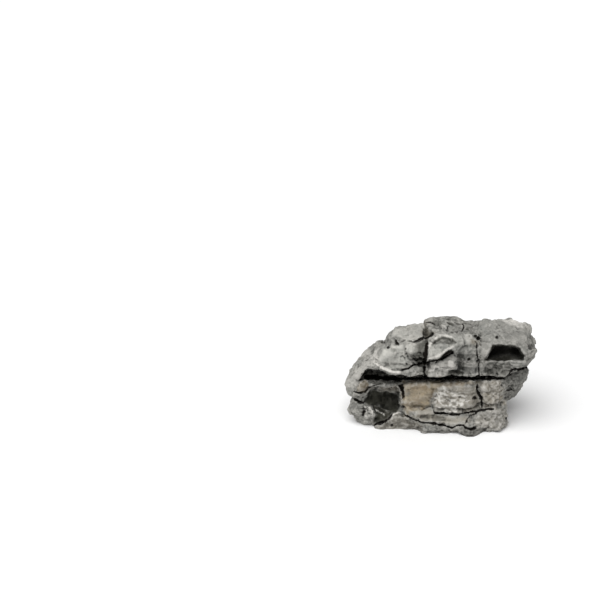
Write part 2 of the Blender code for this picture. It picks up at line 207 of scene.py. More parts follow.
# %% Bring the lips of the seam and the sides of the right joint together
SEAM_MIDDLE = 54.0  # height of the seam
UPPER_LIP = (57.0, 5.0, -1.9)  # height of the lip, how far up and down it is soft, and its move
LOWER_LIP = (49.5, 4.0, 0.9)
LIP_ENDS = (-48.0, -30.0)  # at the left the move starts and is full here; the cavity beyond stays
LIP_BACK = (-12.0, -24.0)  # the same from back to front
JOINT_RISES = [54.0, 70.0, 84.0]  # heights along the right joint
JOINT_RUN = [34.0, 33.0, 34.0]  # how far right the joint is at each of them
SIDE_MOVE = 0.8
SIDE_SOFTNESS = 4.0


def lip_move(heights_up, lip):
    """A move that is full at the level of the lip and fades out above and below it."""
    level, softness, move = lip
    return move * np.exp(-(((heights_up - level) / softness) ** 2))


places = places_of(rock.data)
up = places[:, 2]
rise = np.where(up > SEAM_MIDDLE, lip_move(up, UPPER_LIP), lip_move(up, LOWER_LIP))
in_front = smooth_step(places[:, 1], *LIP_BACK)
rise *= smooth_step(places[:, 0], *LIP_ENDS) * in_front
from_joint = places[:, 0] - np.interp(up, JOINT_RISES, JOINT_RUN)
squeeze = -SIDE_MOVE * np.sign(from_joint) * np.exp(-((from_joint / SIDE_SOFTNESS) ** 2))
squeeze *= in_front * (up > SEAM_MIDDLE)
places[:, 2] += rise
places[:, 0] += squeeze
put_points(rock, places)
print("the lips move by", round(rise.min(), 1), "and", round(rise.max(), 1), "mm")

# %% [markdown]
# ## Drawing on the face
#
# The joints and plates of the face each have their own place, so they are drawn, not left to
# noise. A drawn spot is two lengths: how far right of the front foot it is, and how far above it,
# as the viewer sees it. Each point of the rock gets its own pair, found by running a line from the
# eye through the point. A slow wobble is added to the pairs, so that a path drawn with a few
# corners breaks as unevenly as rock does.

# %% Helpers for drawn shapes
WOBBLES = [(6.0, 0.8), (2.0, 0.35)]  # size and reach of each wobble


def as_seen(places):
    """How far right of the front foot and above it each place is seen."""
    away = places - np.array(eye) / MM
    depth = away @ -np.array(to_viewer)
    scale = view_distance / MM / depth
    right = (away @ np.array(view_right)) * scale - FOOT_RIGHT_OF_MIDDLE / MM
    up = (away @ np.array(view_up)) * scale + FOOT_BELOW_MIDDLE / MM
    return np.stack([right, up], axis=1)


def wobbled(seen, places):
    """The drawn spots, shifted by the slow wobble."""
    for size, reach in WOBBLES:
        seen = seen + sample(noise.noise_vector, places, size)[:, :2] * reach
    return seen


def nearest_on_path(seen, path):
    """How far each spot is from the path, and how far its nearest point is from the path's nearer end."""
    best = np.full(len(seen), np.inf)
    travelled = np.zeros(len(seen))
    length = 0.0
    for start, end in zip(path, path[1:]):
        start, run = np.array(start), np.array(end) - np.array(start)
        along = np.clip((seen - start) @ run / (run @ run), 0.0, 1.0)
        distance = np.linalg.norm(seen - start - along[:, None] * run, axis=1)
        closer = distance < best
        best = np.where(closer, distance, best)
        travelled = np.where(closer, length + along * np.linalg.norm(run), travelled)
        length += np.linalg.norm(run)
    return best, np.minimum(travelled, length - travelled)


def depth_inside(seen, outline):
    """How far inside a closed outline each spot is. It is negative outside."""
    closed = outline + outline[:1]
    inside = np.zeros(len(seen), bool)
    for (x0, y0), (x1, y1) in zip(closed, closed[1:]):
        if y0 != y1:
            beside = seen[:, 0] < x0 + (seen[:, 1] - y0) / (y1 - y0) * (x1 - x0)
            inside ^= ((y0 > seen[:, 1]) != (y1 > seen[:, 1])) & beside
    edge, _ = nearest_on_path(seen, closed)
    return np.where(inside, edge, -edge)


# %% Tell the face from the back
FRONT_HALF_TO = 4.0  # nothing is drawn on the rock behind this, or where it turns away
SEEN_FACES = (0.05, 0.3)  # how squarely a face is seen, where a drawn shape starts and is full
SEEN_WALLS = (-0.3, 0.0)  # the same for colour, which the walls of a crack take too


def faces_viewer(places, normals, squareness=SEEN_FACES):
    """1 on the face of the rock and 0 on the rest of it."""
    turned = smooth_step(normals @ np.array(to_viewer), *squareness)
    return turned * (places[:, 1] < FRONT_HALF_TO)


face_share = faces_viewer(places_of(rock.data), normals_of(rock.data)).mean()
print(f"{100 * face_share:.0f}% of the points are on the face")

# %% [markdown]
# ## Plates and hollows of the face
#
# Limestone splits into plates, and some of them stand out from the face while others have dropped
# off. They could be separate slabs joined with Booleans. Lifting and sinking the skin inside an
# outline gives the same ledges with no cut edges to clean up. Each plate here has an outline, a
# height (negative for a hollow) and the width of its edge.

# %% Outlines of the plates
SHELL = [(-15.5, 69.5), (-15, 77.5), (-13.5, 82.5), (-9, 88), (-5.5, 91), (-0.5, 93.5), (6, 93.5),
         (13.5, 94.5), (18.5, 90), (21, 83.5), (13.5, 77.5), (10, 77.5), (3, 75), (-1.5, 71), (-10, 69)]
SHELL_HOLLOW = [(-9, 85.5), (-6, 87.5), (-1.5, 90), (3.5, 90.5), (8.5, 88.5), (13.5, 86), (10, 84.5), (1, 85),
                (-5.5, 84.5)]
TOP_PLATE = [(-43, 97.5), (-37.5, 101), (-33, 99.5), (-24.5, 103), (-15, 105), (-16, 98), (-16.5, 90),
             (-24.5, 87), (-31.5, 86.5), (-36, 90), (-43, 90.5)]
NOSE = [(-32, 83), (-25.5, 86), (-14.5, 89), (-12.5, 85), (-13.5, 81), (-18.5, 77.5), (-26, 75.5),
        (-29, 77.5), (-32, 78.5)]
UNDER_NOSE = [(-28.5, 75), (-26, 75.5), (-18.5, 76.5), (-12.5, 81.5), (-12.5, 66.5), (-17, 66),
              (-23.5, 69.5), (-27.5, 72.5)]
CLEFT = [(-15, 104), (-12.5, 99.5), (-6.5, 93.5), (-9.5, 91.5), (-16, 89), (-16.5, 93.5), (-15, 98)]
CROWN = [(-12, 104), (2, 108), (16, 108), (28, 104), (29, 95), (20, 95.5), (8, 96), (-4, 95)]
SLANT_WEDGE = [(-3, 70), (1, 73.5), (4.5, 78), (9, 79.5), (12, 78), (10.5, 76), (7.5, 75), (4, 72.2),
               (0.5, 69.6)]
UNDER_SHELL = [(-12, 57), (-12, 66), (0, 70), (11, 74), (16, 72), (14, 64), (4, 63), (4, 57)]
BRIGHT_FACET = [(6.8, 65.5), (6.8, 69), (8.2, 70), (11, 68.5), (13.8, 64.8), (14, 62), (9.6, 62.5)]
SHADED_SIDE = [(13.5, 76), (19, 77), (21.5, 71), (20.5, 62), (16, 61), (14, 66)]
NOTCH = [(46, 84), (66.5, 83.5), (70, 80.5), (75.5, 74), (74, 71), (60, 69.8), (39, 69.8), (42.5, 74)]
CROWN_RIGHT = [(64, 99), (85, 97), (86, 85), (66, 85)]
RIGHT_GAP = [(31, 71.5), (36, 71.5), (35.5, 66.5), (31.5, 66.5)]
CAVITY = [(-74, 53), (-66, 60.5), (-56, 61), (-46, 58), (-34, 56.5), (-34, 51), (-60, 50)]
SMOOTH_CROWN = [(36, 104), (58, 106), (76, 100), (82, 92), (72, 86), (45, 86.5), (36, 88)]
LEFT_FACE = [(-57, 70), (-52, 80), (-44, 83), (-34, 83), (-33, 76), (-29, 70), (-36, 63), (-48, 62),
             (-55, 66)]
FACE_CENTRE = [(-50, 79), (-41, 80.5), (-37.5, 76), (-39, 70), (-48, 69)]
MIDDLE_RIGHT = [(14, 76), (20, 84), (31, 84), (33, 70), (33, 58), (15, 58)]
DARK_WEDGE = [(6.5, 60.5), (13.5, 62), (16.5, 60.5), (20, 58.5), (20, 56), (6.5, 56)]
NOTCH_CHEEK = [(35, 85.5), (45, 85), (43, 76), (39, 70), (35.5, 71), (34.5, 80)]
UNDER_NOTCH = [(36.5, 56.5), (42.5, 68.5), (61.5, 69), (63, 63), (57.5, 56.5), (49, 55.5)]
RIGHT_NICK = [(78.5, 84), (87, 84), (86, 80.5), (79, 81)]
PEBBLE = [(-76, 44.5), (-73, 49.5), (-68.5, 51.5), (-65.5, 50), (-65, 47), (-68, 41.5), (-72, 40.5),
          (-75, 42)]
JOWL = [(-80, 39.5), (-75, 37.5), (-67.5, 40), (-66.5, 37), (-70, 34), (-73, 33.5), (-79, 37)]
HOLLOW_LIP = [(-62.5, 44.5), (-55, 46), (-46, 47), (-38, 47), (-37, 43.5), (-38, 41.5), (-46, 41.5),
              (-52, 42.5), (-57.5, 44.5)]
LEFT_HOLLOW = [(-64.5, 41), (-59.5, 43.5), (-54.5, 41), (-46, 40.5), (-38, 41), (-37, 36), (-37, 29),
               (-39, 24.5), (-44, 22), (-54.5, 28.5), (-61, 29), (-68.5, 30), (-69, 33.5), (-66.5, 37)]
DARK_FACET = [(-61, 28.5), (-56, 28), (-51, 24.5), (-44, 23.5), (-45.5, 19), (-50, 15), (-55, 13),
              (-60.5, 13.5), (-58.5, 21)]
PALE_FACET = [(-68.5, 28.5), (-61, 29), (-61, 25.5), (-59.5, 21), (-61.5, 15), (-67, 17), (-69, 20)]
LEFT_LUMP = [(-82, 34), (-76, 33), (-70.5, 30), (-69.5, 12), (-76, 13), (-80, 20), (-84, 27)]
LEFT_FOOT = [(-60, 10.5), (-51, 14), (-45, 20.5), (-37.5, 23), (-36, 20.5), (-32.5, 20), (-26, 16),
             (-18.5, 12.5), (-18, 6.5), (-29, 8), (-37.5, 5), (-49.5, 5), (-59, 7)]
TAN_BLOCK = [(-33, 47.5), (-23.5, 49.5), (-4, 49.5), (4, 46.5), (-1, 42), (-7, 38.5), (-6.5, 32), (-10, 27.5),
             (-19, 25.5), (-32.5, 21), (-33.5, 33.5)]
TAN_CORNER = [(-12, 47.5), (-6, 47.5), (-3.5, 43), (-6, 37), (-12, 38)]
TAN_TOP = [(-9, 51), (13.5, 51.5), (31, 50.5), (30, 47.5), (7, 47.5), (-2, 45.5)]
VEINED_BLOCK = [(-2, 45.5), (7, 48), (20, 47), (31, 47), (35, 38.5), (36.5, 28), (30, 24.5), (13.5, 22),
                (-4, 23.5), (-8.5, 30), (-7, 38)]
GREEN_PLATE = [(-22, 24.5), (-10, 27), (-4, 22.5), (4, 20), (14, 19), (22, 20.5), (27, 18.5), (23, 14.5),
               (14, 12.5), (4, 13.5), (-7, 14.5), (-17.5, 14.5), (-24.5, 17.5)]
RIGHT_FOOT = [(35, 50.5), (51.5, 53), (56.5, 47), (55, 39), (57.5, 30.5), (48.5, 26.5), (37.5, 26.5),
              (37.5, 33), (35, 40.5)]
RIGHT_TOE = [(32.5, 22), (48.5, 26), (60.5, 28), (62, 17.5), (58, 8), (44, 7), (32.5, 10), (30, 16.5)]
CHEEK = [(60.5, 55), (64.5, 60.5), (80, 64.5), (76, 55.5), (74, 45), (70, 37), (60.5, 32), (56.5, 34),
         (57, 41.5), (55, 49.5)]
HEEL = [(15.5, 4.5), (20, 11), (21.5, 9), (27, 7.5), (32, 9.5), (44, 7), (34, -2), (27.5, -4), (22, -2)]
FOOT_BAND = [(-5.5, 10), (10, 7.5), (13.5, 11), (15.5, 4.5), (7, 2), (-5.5, 2)]
print("the shell is drawn with", len(SHELL), "corners and the notch with", len(NOTCH))

# %% Heights of the plates and their rims
# outline, height, width of the edge, and how much lighter or darker it is painted, partly the
# rock's own tone and partly painted light: lighter on lit plates such as the nose, darker on shaded
# ones such as the heel and the shaded side
PLATES = [
    (SHELL, 2.2, 1.0, 0.4),
    (SHELL_HOLLOW, -3.0, 1.2, -0.4),
    (TOP_PLATE, 1.4, 1.0, 0.42),
    (CROWN, 0.0, 3.0, -0.15),
    (NOSE, 2.8, 2.4, 0.5),
    (UNDER_NOSE, 0.6, 3.6, 0.0),
    (LEFT_FACE, 0.6, 1.6, 1.0),
    (FACE_CENTRE, 0.0, 2.0, -0.35),
    (CLEFT, -1.2, 2.0, -0.3),
    (MIDDLE_RIGHT, 0.0, 3.0, -0.2),
    (SHADED_SIDE, -0.4, 1.6, -0.3),
    (RIGHT_GAP, 0.8, 2.0, 0.0),
    (SLANT_WEDGE, -3.0, 1.0, -0.3),
    (BRIGHT_FACET, 1.3, 0.8, 0.35),
    (DARK_WEDGE, -1.4, 1.6, -0.45),
    (CROWN_RIGHT, 0.0, 3.0, 0.1),
    (NOTCH, -1.5, 1.6, 0.0),
    (NOTCH_CHEEK, 0.6, 1.0, 0.05),
    (UNDER_NOTCH, -0.9, 1.4, -0.3),
    (RIGHT_NICK, -1.6, 1.6, -0.3),
    (PEBBLE, 2.0, 3.0, -0.1),
    (JOWL, 1.4, 2.4, 0.0),
    (HOLLOW_LIP, 1.2, 1.8, -0.15),
    (LEFT_HOLLOW, -1.6, 2.4, 0.0),
    (DARK_FACET, -0.8, 1.2, 0.0),
    (PALE_FACET, 0.5, 1.2, -0.35),
    (LEFT_LUMP, 0.0, 3.0, -0.2),
    (LEFT_FOOT, 1.0, 1.4, -0.25),
    (TAN_BLOCK, 0.5, 3.0, 0.2),
    (TAN_CORNER, 1.2, 3.0, 0.0),
    (TAN_TOP, 0.0, 1.2, -0.3),
    (VEINED_BLOCK, 0.8, 3.0, 0.0),
    (GREEN_PLATE, 0.6, 1.2, 0.16),
    (RIGHT_TOE, 0.6, 1.2, 0.0),
    (CHEEK, -0.4, 1.6, -0.05),
    (HEEL, 0.9, 2.4, -0.55),
    (FOOT_BAND, 0.0, 1.6, -0.3),
]

# raised rims along the edges of plates: path, width and height
RIMS = [
    ([(-57.5, 66.5), (-52, 62.5), (-47.5, 60.5), (-43, 59.3), (-37.5, 58.8)], 3.6, 1.5),
    ([(-13, 76), (-12, 82), (-8, 87.5), (-4, 91), (1, 92.8), (7, 92.6), (12, 90.5)], 3.0, 1.6),
    ([(-11, 71.5), (-4, 73), (1, 76.5), (6, 79)], 2.8, 1.1),
    ([(-11, 60.5), (-6.5, 61), (-5.5, 64.5), (0.5, 62), (6, 61.5), (13, 62.5)], 2.4, 1.1),
    ([(-45, 19), (-42, 21.5), (-37.5, 22.5)], 2.2, 0.7),
    ([(-31, 85), (-24.5, 86), (-15, 88)], 2.4, 0.6),
    ([(-34, 60), (-26, 61), (-16, 64.5)], 2.6, 0.7),
    ([(33, 100), (33, 86), (33.5, 70), (34, 58)], 4.0, 0.9),
]
print("plates:", len(PLATES), "and rims:", len(RIMS))

# %% [markdown]
# ## Moving the largest parts of the face
#
# Three parts of the face need more than a plate. The recess under the nose is too deep, the roof of
# the notch is too low, and two feet end above the ground at their front edges. The points of each
# part move together here, before anything fine is drawn on them, so the fine marks stay sharp.

# %% Make the recess shallower, raise the roof of the notch and settle the feet
RECESS_FRONT = -42.0  # the face round the recess under the nose is at this depth
RECESS_FILL = 0.6  # the share of the recess's own depth that goes
NOTCH_ROOF = (86.0, 5.0, 2.2)  # height of the roof, how far up and down it is soft, and its move
NOTCH_LEFT = (38.0, 46.0)  # the move fades in and out between these, from left to right
NOTCH_RIGHT = (80.0, 72.0)
SETTLE = 1.8  # how far the feet sink
SETTLE_BELOW = (14.0, 4.0)  # the heights where sinking starts and is full
SOFT_EDGE = (-2.0, 2.0)  # how far inside its outline a move starts and is full

places = places_of(rock.data)
seen = wobbled(as_seen(places), places)
in_front = places[:, 1] < FRONT_HALF_TO
recess = smooth_step(depth_inside(seen, UNDER_NOSE), *SOFT_EDGE) * in_front
feet = np.maximum(depth_inside(seen, HEEL), depth_inside(seen, LEFT_FOOT))
settling = smooth_step(feet, *SOFT_EDGE) * smooth_step(places[:, 2], *SETTLE_BELOW)
notch = smooth_step(places[:, 0], *NOTCH_LEFT) * smooth_step(places[:, 0], *NOTCH_RIGHT)
places[:, 1] -= RECESS_FILL * recess * np.clip(places[:, 1] - RECESS_FRONT, 0.0, None)
places[:, 2] += in_front * (notch * lip_move(places[:, 2], NOTCH_ROOF) - SETTLE * settling)
put_points(rock, places)
print("the recess moves forward at", int((recess > 0.5).sum()), "points")

# %% Lift and sink the plates
MOST_OUTSIDE = 3.0  # the further a plate would stand out of the solid's box, the more it is held back


def rounded(distance, width):
    """1 on a line, 0 at half the width from it, with steep sides."""
    return np.sqrt(np.clip(1 - (2 * distance / width) ** 2, 0.0, 1.0))


def hold_in(piece):
    """Softly presses what stands outside the box of the solid back towards it."""
    places = places_of(piece.data)
    inside = np.clip(places, np.array(cad_box[0]) / MM, np.array(cad_box[1]) / MM)
    outside = places - inside
    put_points(piece, inside + outside / (1 + np.abs(outside) / MOST_OUTSIDE))


places = places_of(rock.data)
seen = wobbled(as_seen(places), places)
heights = np.zeros(len(places))
for outline, rise, edge, _ in PLATES:
    heights += rise * smooth_step(depth_inside(seen, outline), -edge / 2, edge / 2)
for path, width, rise in RIMS:
    heights += rise * rounded(nearest_on_path(seen, path)[0], width)
move_out(rock, heights * faces_viewer(places, normals_of(rock.data)))
hold_in(rock)
print("the plates reach from", round(heights.min(), 1), "to", round(heights.max(), 1), "mm")

# %% [markdown]
# ## Joints
#
# Rock cracks along joints while it is still in the ground, and water opens them. A joint is a
# narrow, deep groove. It could be cut with a Boolean, but a groove pressed into the fine skin
# follows every lump, and it can fade out at its ends. Each joint has a path, a width and a depth.

# %% Paths of the joints
# path, width and depth
JOINTS = [
    ([(-12.4, 87), (-12.8, 83), (-13.9, 77), (-14.4, 70), (-14.5, 65)], 4.3, 4.8),
    ([(-14.5, 67), (-14.8, 58), (-14.2, 54)], 2.4, 4.0),
    ([(-6.5, 94.5), (-9.5, 91.5), (-16, 89.5), (-21.5, 87.3)], 2.3, 3.2),
    ([(-19, 88.2), (-24.5, 86.5), (-29, 87)], 1.2, 2.0),
    ([(-42, 89), (-40, 86.5), (-37.5, 83.5)], 2.2, 3.0),
    ([(-36.5, 61), (-30, 62.5), (-24.5, 65.5), (-20.5, 66.5), (-16, 67.5)], 1.8, 3.5),
    ([(-15, 103.5), (-10, 104.5), (-6, 102), (-5.5, 100.5)], 1.4, 1.5),
    ([(-13, 68.5), (-5.5, 69.5), (-1.5, 71), (3, 75), (7, 77.5), (10, 77.5)], 2.2, 3.5),
    ([(34, 108), (33, 100), (32, 92)], 0.9, 0.7),
    ([(32.5, 86), (32, 80), (32.6, 75), (33.4, 69)], 1.4, 2.0),
    ([(33.9, 70.5), (34.2, 62), (34.3, 55.5)], 1.2, 3.4),
    ([(19, 103), (20, 99.5), (18.5, 95)], 1.7, 2.4),
    ([(7, 101), (5, 96)], 2.2, 2.4),
    ([(57.5, 54), (60.5, 56.5), (64.5, 61.5), (75, 63), (83, 65.5)], 1.8, 3.0),
    ([(-70, 53.5), (-64, 55), (-52, 54), (-34, 53)], 5.0, 2.5),
    ([(-44, 53), (-14, 53.8), (10, 53.8), (36, 53.5), (58, 54)], 2.4, 2.0),
    ([(-80, 41), (-76.5, 41), (-72.5, 40), (-68.5, 41.5), (-65.5, 45), (-59.5, 47.5), (-52, 49)], 1.6, 2.5),
    ([(-79.5, 36.5), (-76, 34), (-72.5, 32.5), (-67.5, 33)], 1.9, 3.2),
    ([(-39, 48.5), (-36, 45.5), (-34, 40), (-34.5, 34.5)], 2.6, 4.5),
    ([(-70, 30.5), (-69.5, 24.5), (-70, 18)], 1.4, 2.0),
    ([(-75.5, 14.5), (-72.5, 11.5), (-69, 10.5), (-61.5, 10.5), (-56.5, 13.5), (-51, 14.5), (-46, 18.5),
      (-43.5, 22.5)], 1.8, 3.0),
    ([(-33, 21), (-26, 17.5), (-18.5, 14.5), (-16, 13.5), (-7, 13), (3.5, 11.5), (10, 8.5), (14, 11.5),
      (20, 11.5), (21.5, 9.5), (27, 8), (32, 10)], 1.8, 3.0),
    ([(-19, 25.5), (-14.5, 26), (-10, 28)], 1.1, 1.2),
    ([(-31.5, 36), (-24.5, 30), (-22, 26)], 0.9, 0.6),
    ([(-7, 25.5), (-5.5, 23), (3, 22), (9, 21), (15.5, 21), (23, 23), (30.5, 23.5), (35.5, 25.5), (40, 26),
      (48.5, 26.5)], 1.8, 3.5),
    ([(32.5, 48.5), (32.5, 42.5), (35, 38.5), (37, 33), (37, 26.5)], 1.7, 3.5),
    ([(21.5, 13), (24.5, 17.5), (28, 20.5), (33, 23)], 1.3, 2.0),
    ([(16.5, 40), (21.5, 40)], 1.2, 1.0),
    ([(14, 36.5), (20, 36.5)], 1.2, 1.0),
    ([(20.6, 81), (20.8, 72), (20.4, 64)], 0.8, 0.4),
    ([(57, 41.5), (63, 43.5), (66.5, 42.5)], 1.4, 1.5),
    ([(-5.5, 16), (4.5, 16)], 1.0, 0.9),
    ([(-5.5, 18.5), (4, 18.5)], 0.9, 0.8),
]

# place and radius of the holes where a grain fell out of the face
GRAIN_HOLES = [((33.6, 89.8), 2.2), ((31, 92), 1.8), ((31, 86), 1.0), ((50, 90.5), 1.5), ((25, 70.5), 1.5),
               ((-32, 80), 1.1), ((-32.5, 71.5), 1.0), ((-30.5, 66.5), 1.1), ((-47.5, 82), 1.2),
               ((-51, 86), 1.2), ((30.5, 36), 1.8), ((58.5, 18), 1.4), ((36, 13.5), 0.9), ((55, 47.5), 0.9),
               ((-44.3, 11.7), 1.3), ((-30.5, 19.5), 0.9)]
print("joints:", len(JOINTS), "and holes:", len(GRAIN_HOLES))

# %% Press them in
JOINT_TAPER = 3.0  # a joint narrows over this much of each end
JOINT_THINNEST = 0.01  # the width that is left at its very ends
JOINT_LEAST_WIDTH = 0.75  # the share of its stated width that a joint has where it is narrowest
JOINT_WIDENING = 0.45  # what its widest places add to that share
JOINT_PATCHES = 5.0  # size of the wide and narrow places
USUAL_NOISE = (-0.3, 0.3)  # most values of the noise lie between these
HOLE_DEPTH = 1.2  # of the hole's radius


def joint_depths(seen, places):
    """How deep the joints and grain holes are at each spot."""
    widening = smooth_step(sample(noise.noise, places, JOINT_PATCHES), *USUAL_NOISE)
    uneven = JOINT_LEAST_WIDTH + JOINT_WIDENING * widening
    depths = np.zeros(len(seen))
    for path, width, depth in JOINTS:
        distance, from_end = nearest_on_path(seen, path)
        taper = smooth_step(from_end, -JOINT_TAPER / 2, JOINT_TAPER)
        groove = rounded(distance, width * uneven * taper + JOINT_THINNEST)
        depths = np.maximum(depths, depth * taper * groove)
    for centre, radius in GRAIN_HOLES:
        from_centre = np.linalg.norm(seen - np.array(centre), axis=1)
        depths = np.maximum(depths, HOLE_DEPTH * radius * rounded(from_centre, 2 * radius))
    return depths


places = places_of(rock.data)
seen = wobbled(as_seen(places), places)
pressed = joint_depths(seen, places) * faces_viewer(places, normals_of(rock.data))
move_out(rock, -pressed)
remesh(rock)  # the walls of the joints are stretched, so they get new faces
print("the deepest joint is", round(pressed.max(), 1), "mm deep")

# %% [markdown]
# ## How limestone breaks and weathers
#
# Dense limestone breaks into small flat faces that meet at sharp edges. One flat face per cell of
# a Voronoi pattern, each with its own tilt, gives that look, which smooth noise can't. Three sizes
# of face sit inside each other. After that come the thin beds, which water wears back in lines,
# a sprinkle of pits, and a fine roughness. The smooth parts of the stone get less of all of it.

# %% Broken faces
FACETS = [(16.0, 2.6), (7.0, 2.0), (3.2, 0.9)]  # size of a face and how far its tilt lifts it
FACET_WARP = 0.35  # how far the edges of a face bend, as a share of its size
FACET_BENDS = 1.7  # how many bends there are over its size
TILT_KEY = 5.3  # the middle of a face times this picks the numbers of its tilt
EDGE_WEAR_TURNS = 2


def face_at(place):
    """The warped place, and the middle of the broken face that it is on."""
    place = Vector(place)
    place += noise.noise_vector(place * FACET_BENDS) * FACET_WARP
    return place, noise.voronoi(place)[1][0]


def tilted_face(place):
    """The height of a plane with its own tilt, from about -0.5 to 0.5."""
    place, middle = face_at(place)
    tilt = noise.cell_vector(middle * TILT_KEY) - Vector((0.5, 0.5, 0.5))
    return (place - middle).dot(tilt)


# places that stay smooth: outline, and how much of the roughness they lose
SMOOTH_PLACES = [(TAN_BLOCK, 0.6), (TAN_TOP, 0.6), (LEFT_HOLLOW, 0.6), (TOP_PLATE, 0.5), (SHELL, 0.5),
                 (NOTCH_CHEEK, 0.6), (HOLLOW_LIP, 0.5), (PEBBLE, 0.7), (GREEN_PLATE, 0.7), (LEFT_FACE, 0.5),
                 (VEINED_BLOCK, 0.5), (NOTCH, 0.6), (MIDDLE_RIGHT, 0.4), (SMOOTH_CROWN, 0.5), (NOSE, 0.5),
                 (LEFT_FOOT, 0.5), (HEEL, 0.4), (RIGHT_TOE, 0.3), (UNDER_SHELL, 0.5), (DARK_FACET, 0.5)]
SMOOTH_EDGE = (-1.0, 2.0)  # how far inside the outline the loss starts and is full


def roughness_of(seen, towards):
    """The share of the roughness that each point keeps."""
    rough = np.ones(len(seen))
    for outline, loss in SMOOTH_PLACES:
        rough *= 1 - loss * towards * smooth_step(depth_inside(seen, outline), *SMOOTH_EDGE)
    return rough


places = places_of(rock.data)
seen = as_seen(places)
towards = faces_viewer(places, normals_of(rock.data))
rough = roughness_of(seen, towards)
heights = sum(sample(tilted_face, places, size) * lift for size, lift in FACETS)
move_out(rock, heights * rough)
smooth(rock, EDGE_WEAR_TURNS)
print("broken faces lift the skin by up to", round(np.abs(heights).max(), 2), "mm")

# %% Grooves between the thin beds
BED_RISE = 3.1  # from one bed to the next
BED_DIP = 0.06  # how much the beds fall towards the right
BED_WANDER = [(22.0, 3.0), (7.0, 0.8)]  # size and reach of the waves in a bed
BED_GROOVE_DEPTH = 0.7
BED_GROOVE_SIDE = 0.8  # from the middle of a groove to its edge
BED_STRETCHES = 26.0  # size of the places where the grooves show
BEDS_SHOWN = (-0.05, 0.35)  # values of the noise where they start and are full


def bed_grooves(places, normals):
    """Narrow grooves between the thin beds, which come and go, on the sides only."""
    wander = sum(sample(noise.noise, places, size) * reach for size, reach in BED_WANDER)
    level = (places[:, 2] + BED_DIP * places[:, 0] + wander) / BED_RISE
    from_bed = np.abs(level - np.round(level)) * BED_RISE
    shown = smooth_step(sample(noise.noise, places * (1, 1, 2), BED_STRETCHES), *BEDS_SHOWN)
    sideways = 1 - np.abs(normals[:, 2])
    return -BED_GROOVE_DEPTH * np.clip(1 - from_bed / BED_GROOVE_SIDE, 0, 1) * shown * sideways


beds = bed_grooves(places, normals_of(rock.data))
print("the beds are worn back by up to", round(-beds.min(), 2), "mm")

# %% Pits and fine roughness
PIT_SPACING = 3.6
PIT_RADIUS = 0.32  # of the spacing
PIT_DEPTH = 0.8
PIT_SHARE = 0.2  # of the cells
PIT_KEY = 9.1  # the middle of a cell times this picks the number that says if it has a pit
FINE_SIZE = 2.0
FINE_LIFT = 0.13
FINE_MOST = 1.5  # times the lift
FINE_TERRAIN = (0.8, 2.2, 4, 0.6)  # evenness, step from one octave to the next, their number, and offset


def pits(places):
    """Round pits in some of the cells of a Voronoi pattern."""
    heights = []
    for place in (places / PIT_SPACING).tolist():
        distances, centres = noise.voronoi(place)
        chosen = noise.cell(centres[0] * PIT_KEY) < PIT_SHARE
        heights.append(max(0.0, 1 - (distances[0] / PIT_RADIUS) ** 2) if chosen else 0.0)
    return -PIT_DEPTH * np.array(heights)


def fine_roughness(places):
    """Small uneven bumps, from the noise that also makes rough hills."""
    rise = np.array([noise.hetero_terrain(place, *FINE_TERRAIN) for place in (places / FINE_SIZE).tolist()])
    return FINE_LIFT * np.clip(rise - rise.mean(), -FINE_MOST, FINE_MOST)


heights = beds * rough + pits(places) + fine_roughness(places)
move_out(rock, heights * rough)
print("beds, pits and roughness reach from", round(heights.min(), 2), "to", round(heights.max(), 2), "mm")

# %% [markdown]
# ## Fewer triangles where the rock is plain
#
# The even mesh spends as many triangles on a flat face as on a crack. Decimating it now keeps them
# where the shape turns, and the stone stays light enough to reuse. The base is pressed flat again,
# because the stone rests on it.

# %% Decimate and flatten the base
TRIANGLES = 190_000


def drop_crumbs(mesh):
    """Deletes every loose bit of the mesh but the biggest."""
    shape = bmesh.new()
    shape.from_mesh(mesh)
    unseen = set(shape.verts)
    bodies = []
    while unseen:
        queue = [unseen.pop()]
        body = []
        while queue:
            point = queue.pop()
            body.append(point)
            near = {edge.other_vert(point) for edge in point.link_edges} & unseen
            unseen -= near
            queue.extend(near)
        bodies.append(body)
    bodies.sort(key=len)
    crumbs = [point for body in bodies[:-1] for point in body]
    bmesh.ops.delete(shape, geom=crumbs, context="VERTS")
    bmesh.ops.dissolve_degenerate(shape, dist=TOUCHING, edges=shape.edges)
    shape.to_mesh(mesh)
    shape.free()
    print("crumbs dropped:", len(bodies) - 1)


triangles_now = len(rock.data.polygons) * 2  # the remesh makes squares
if triangles_now > TRIANGLES:
    run_modifier(rock, "DECIMATE", ratio=TRIANGLES / triangles_now)
drop_crumbs(rock.data)
for vertex in rock.data.vertices:
    vertex.co.z = max(vertex.co.z, 0.0)
rock.data.shade_smooth()
print("the stone has", sum(len(face.vertices) - 2 for face in rock.data.polygons), "triangles")

# %% [markdown]
# ## Marks for the finish
#
# Dust, white calcite and dark mineral film lie where water left them. Painted shade and light go on
# beside them: the dark in hollows and where near rock hides the sky, film that stands in for shade in
# recesses and under overhangs, white highlights along the raised rims, and plates painted lighter where
# lit and darker where shaded. The material could look for those places by itself, but it doesn't know
# the joints and the plates. So each mark is worked out here, at every point, and stored on the mesh as
# a number that the material reads. It goes from 0 to 1, but for the tone, which also goes below 0
# where the rock is painted darker.

# %% Find the places that light can't reach
REACH = 14 * MM  # rock nearer than this shades a point
RAYS = 24
RAY_START = 0.15 * MM  # off the skin, so that a ray misses the face it starts on
SHADE_TURNS = 2  # turns of averaging over neighbouring points


def directions_out(count):
    """Directions spread evenly over half a ball, more of them near its pole, which is +Z."""
    turns = [index * math.pi * (3 - math.sqrt(5)) for index in range(count)]
    rings = [math.sqrt((index + 0.5) / count) for index in range(count)]
    return [Vector((ring * math.cos(turn), ring * math.sin(turn), math.sqrt(1 - ring * ring)))
            for turn, ring in zip(turns, rings)]


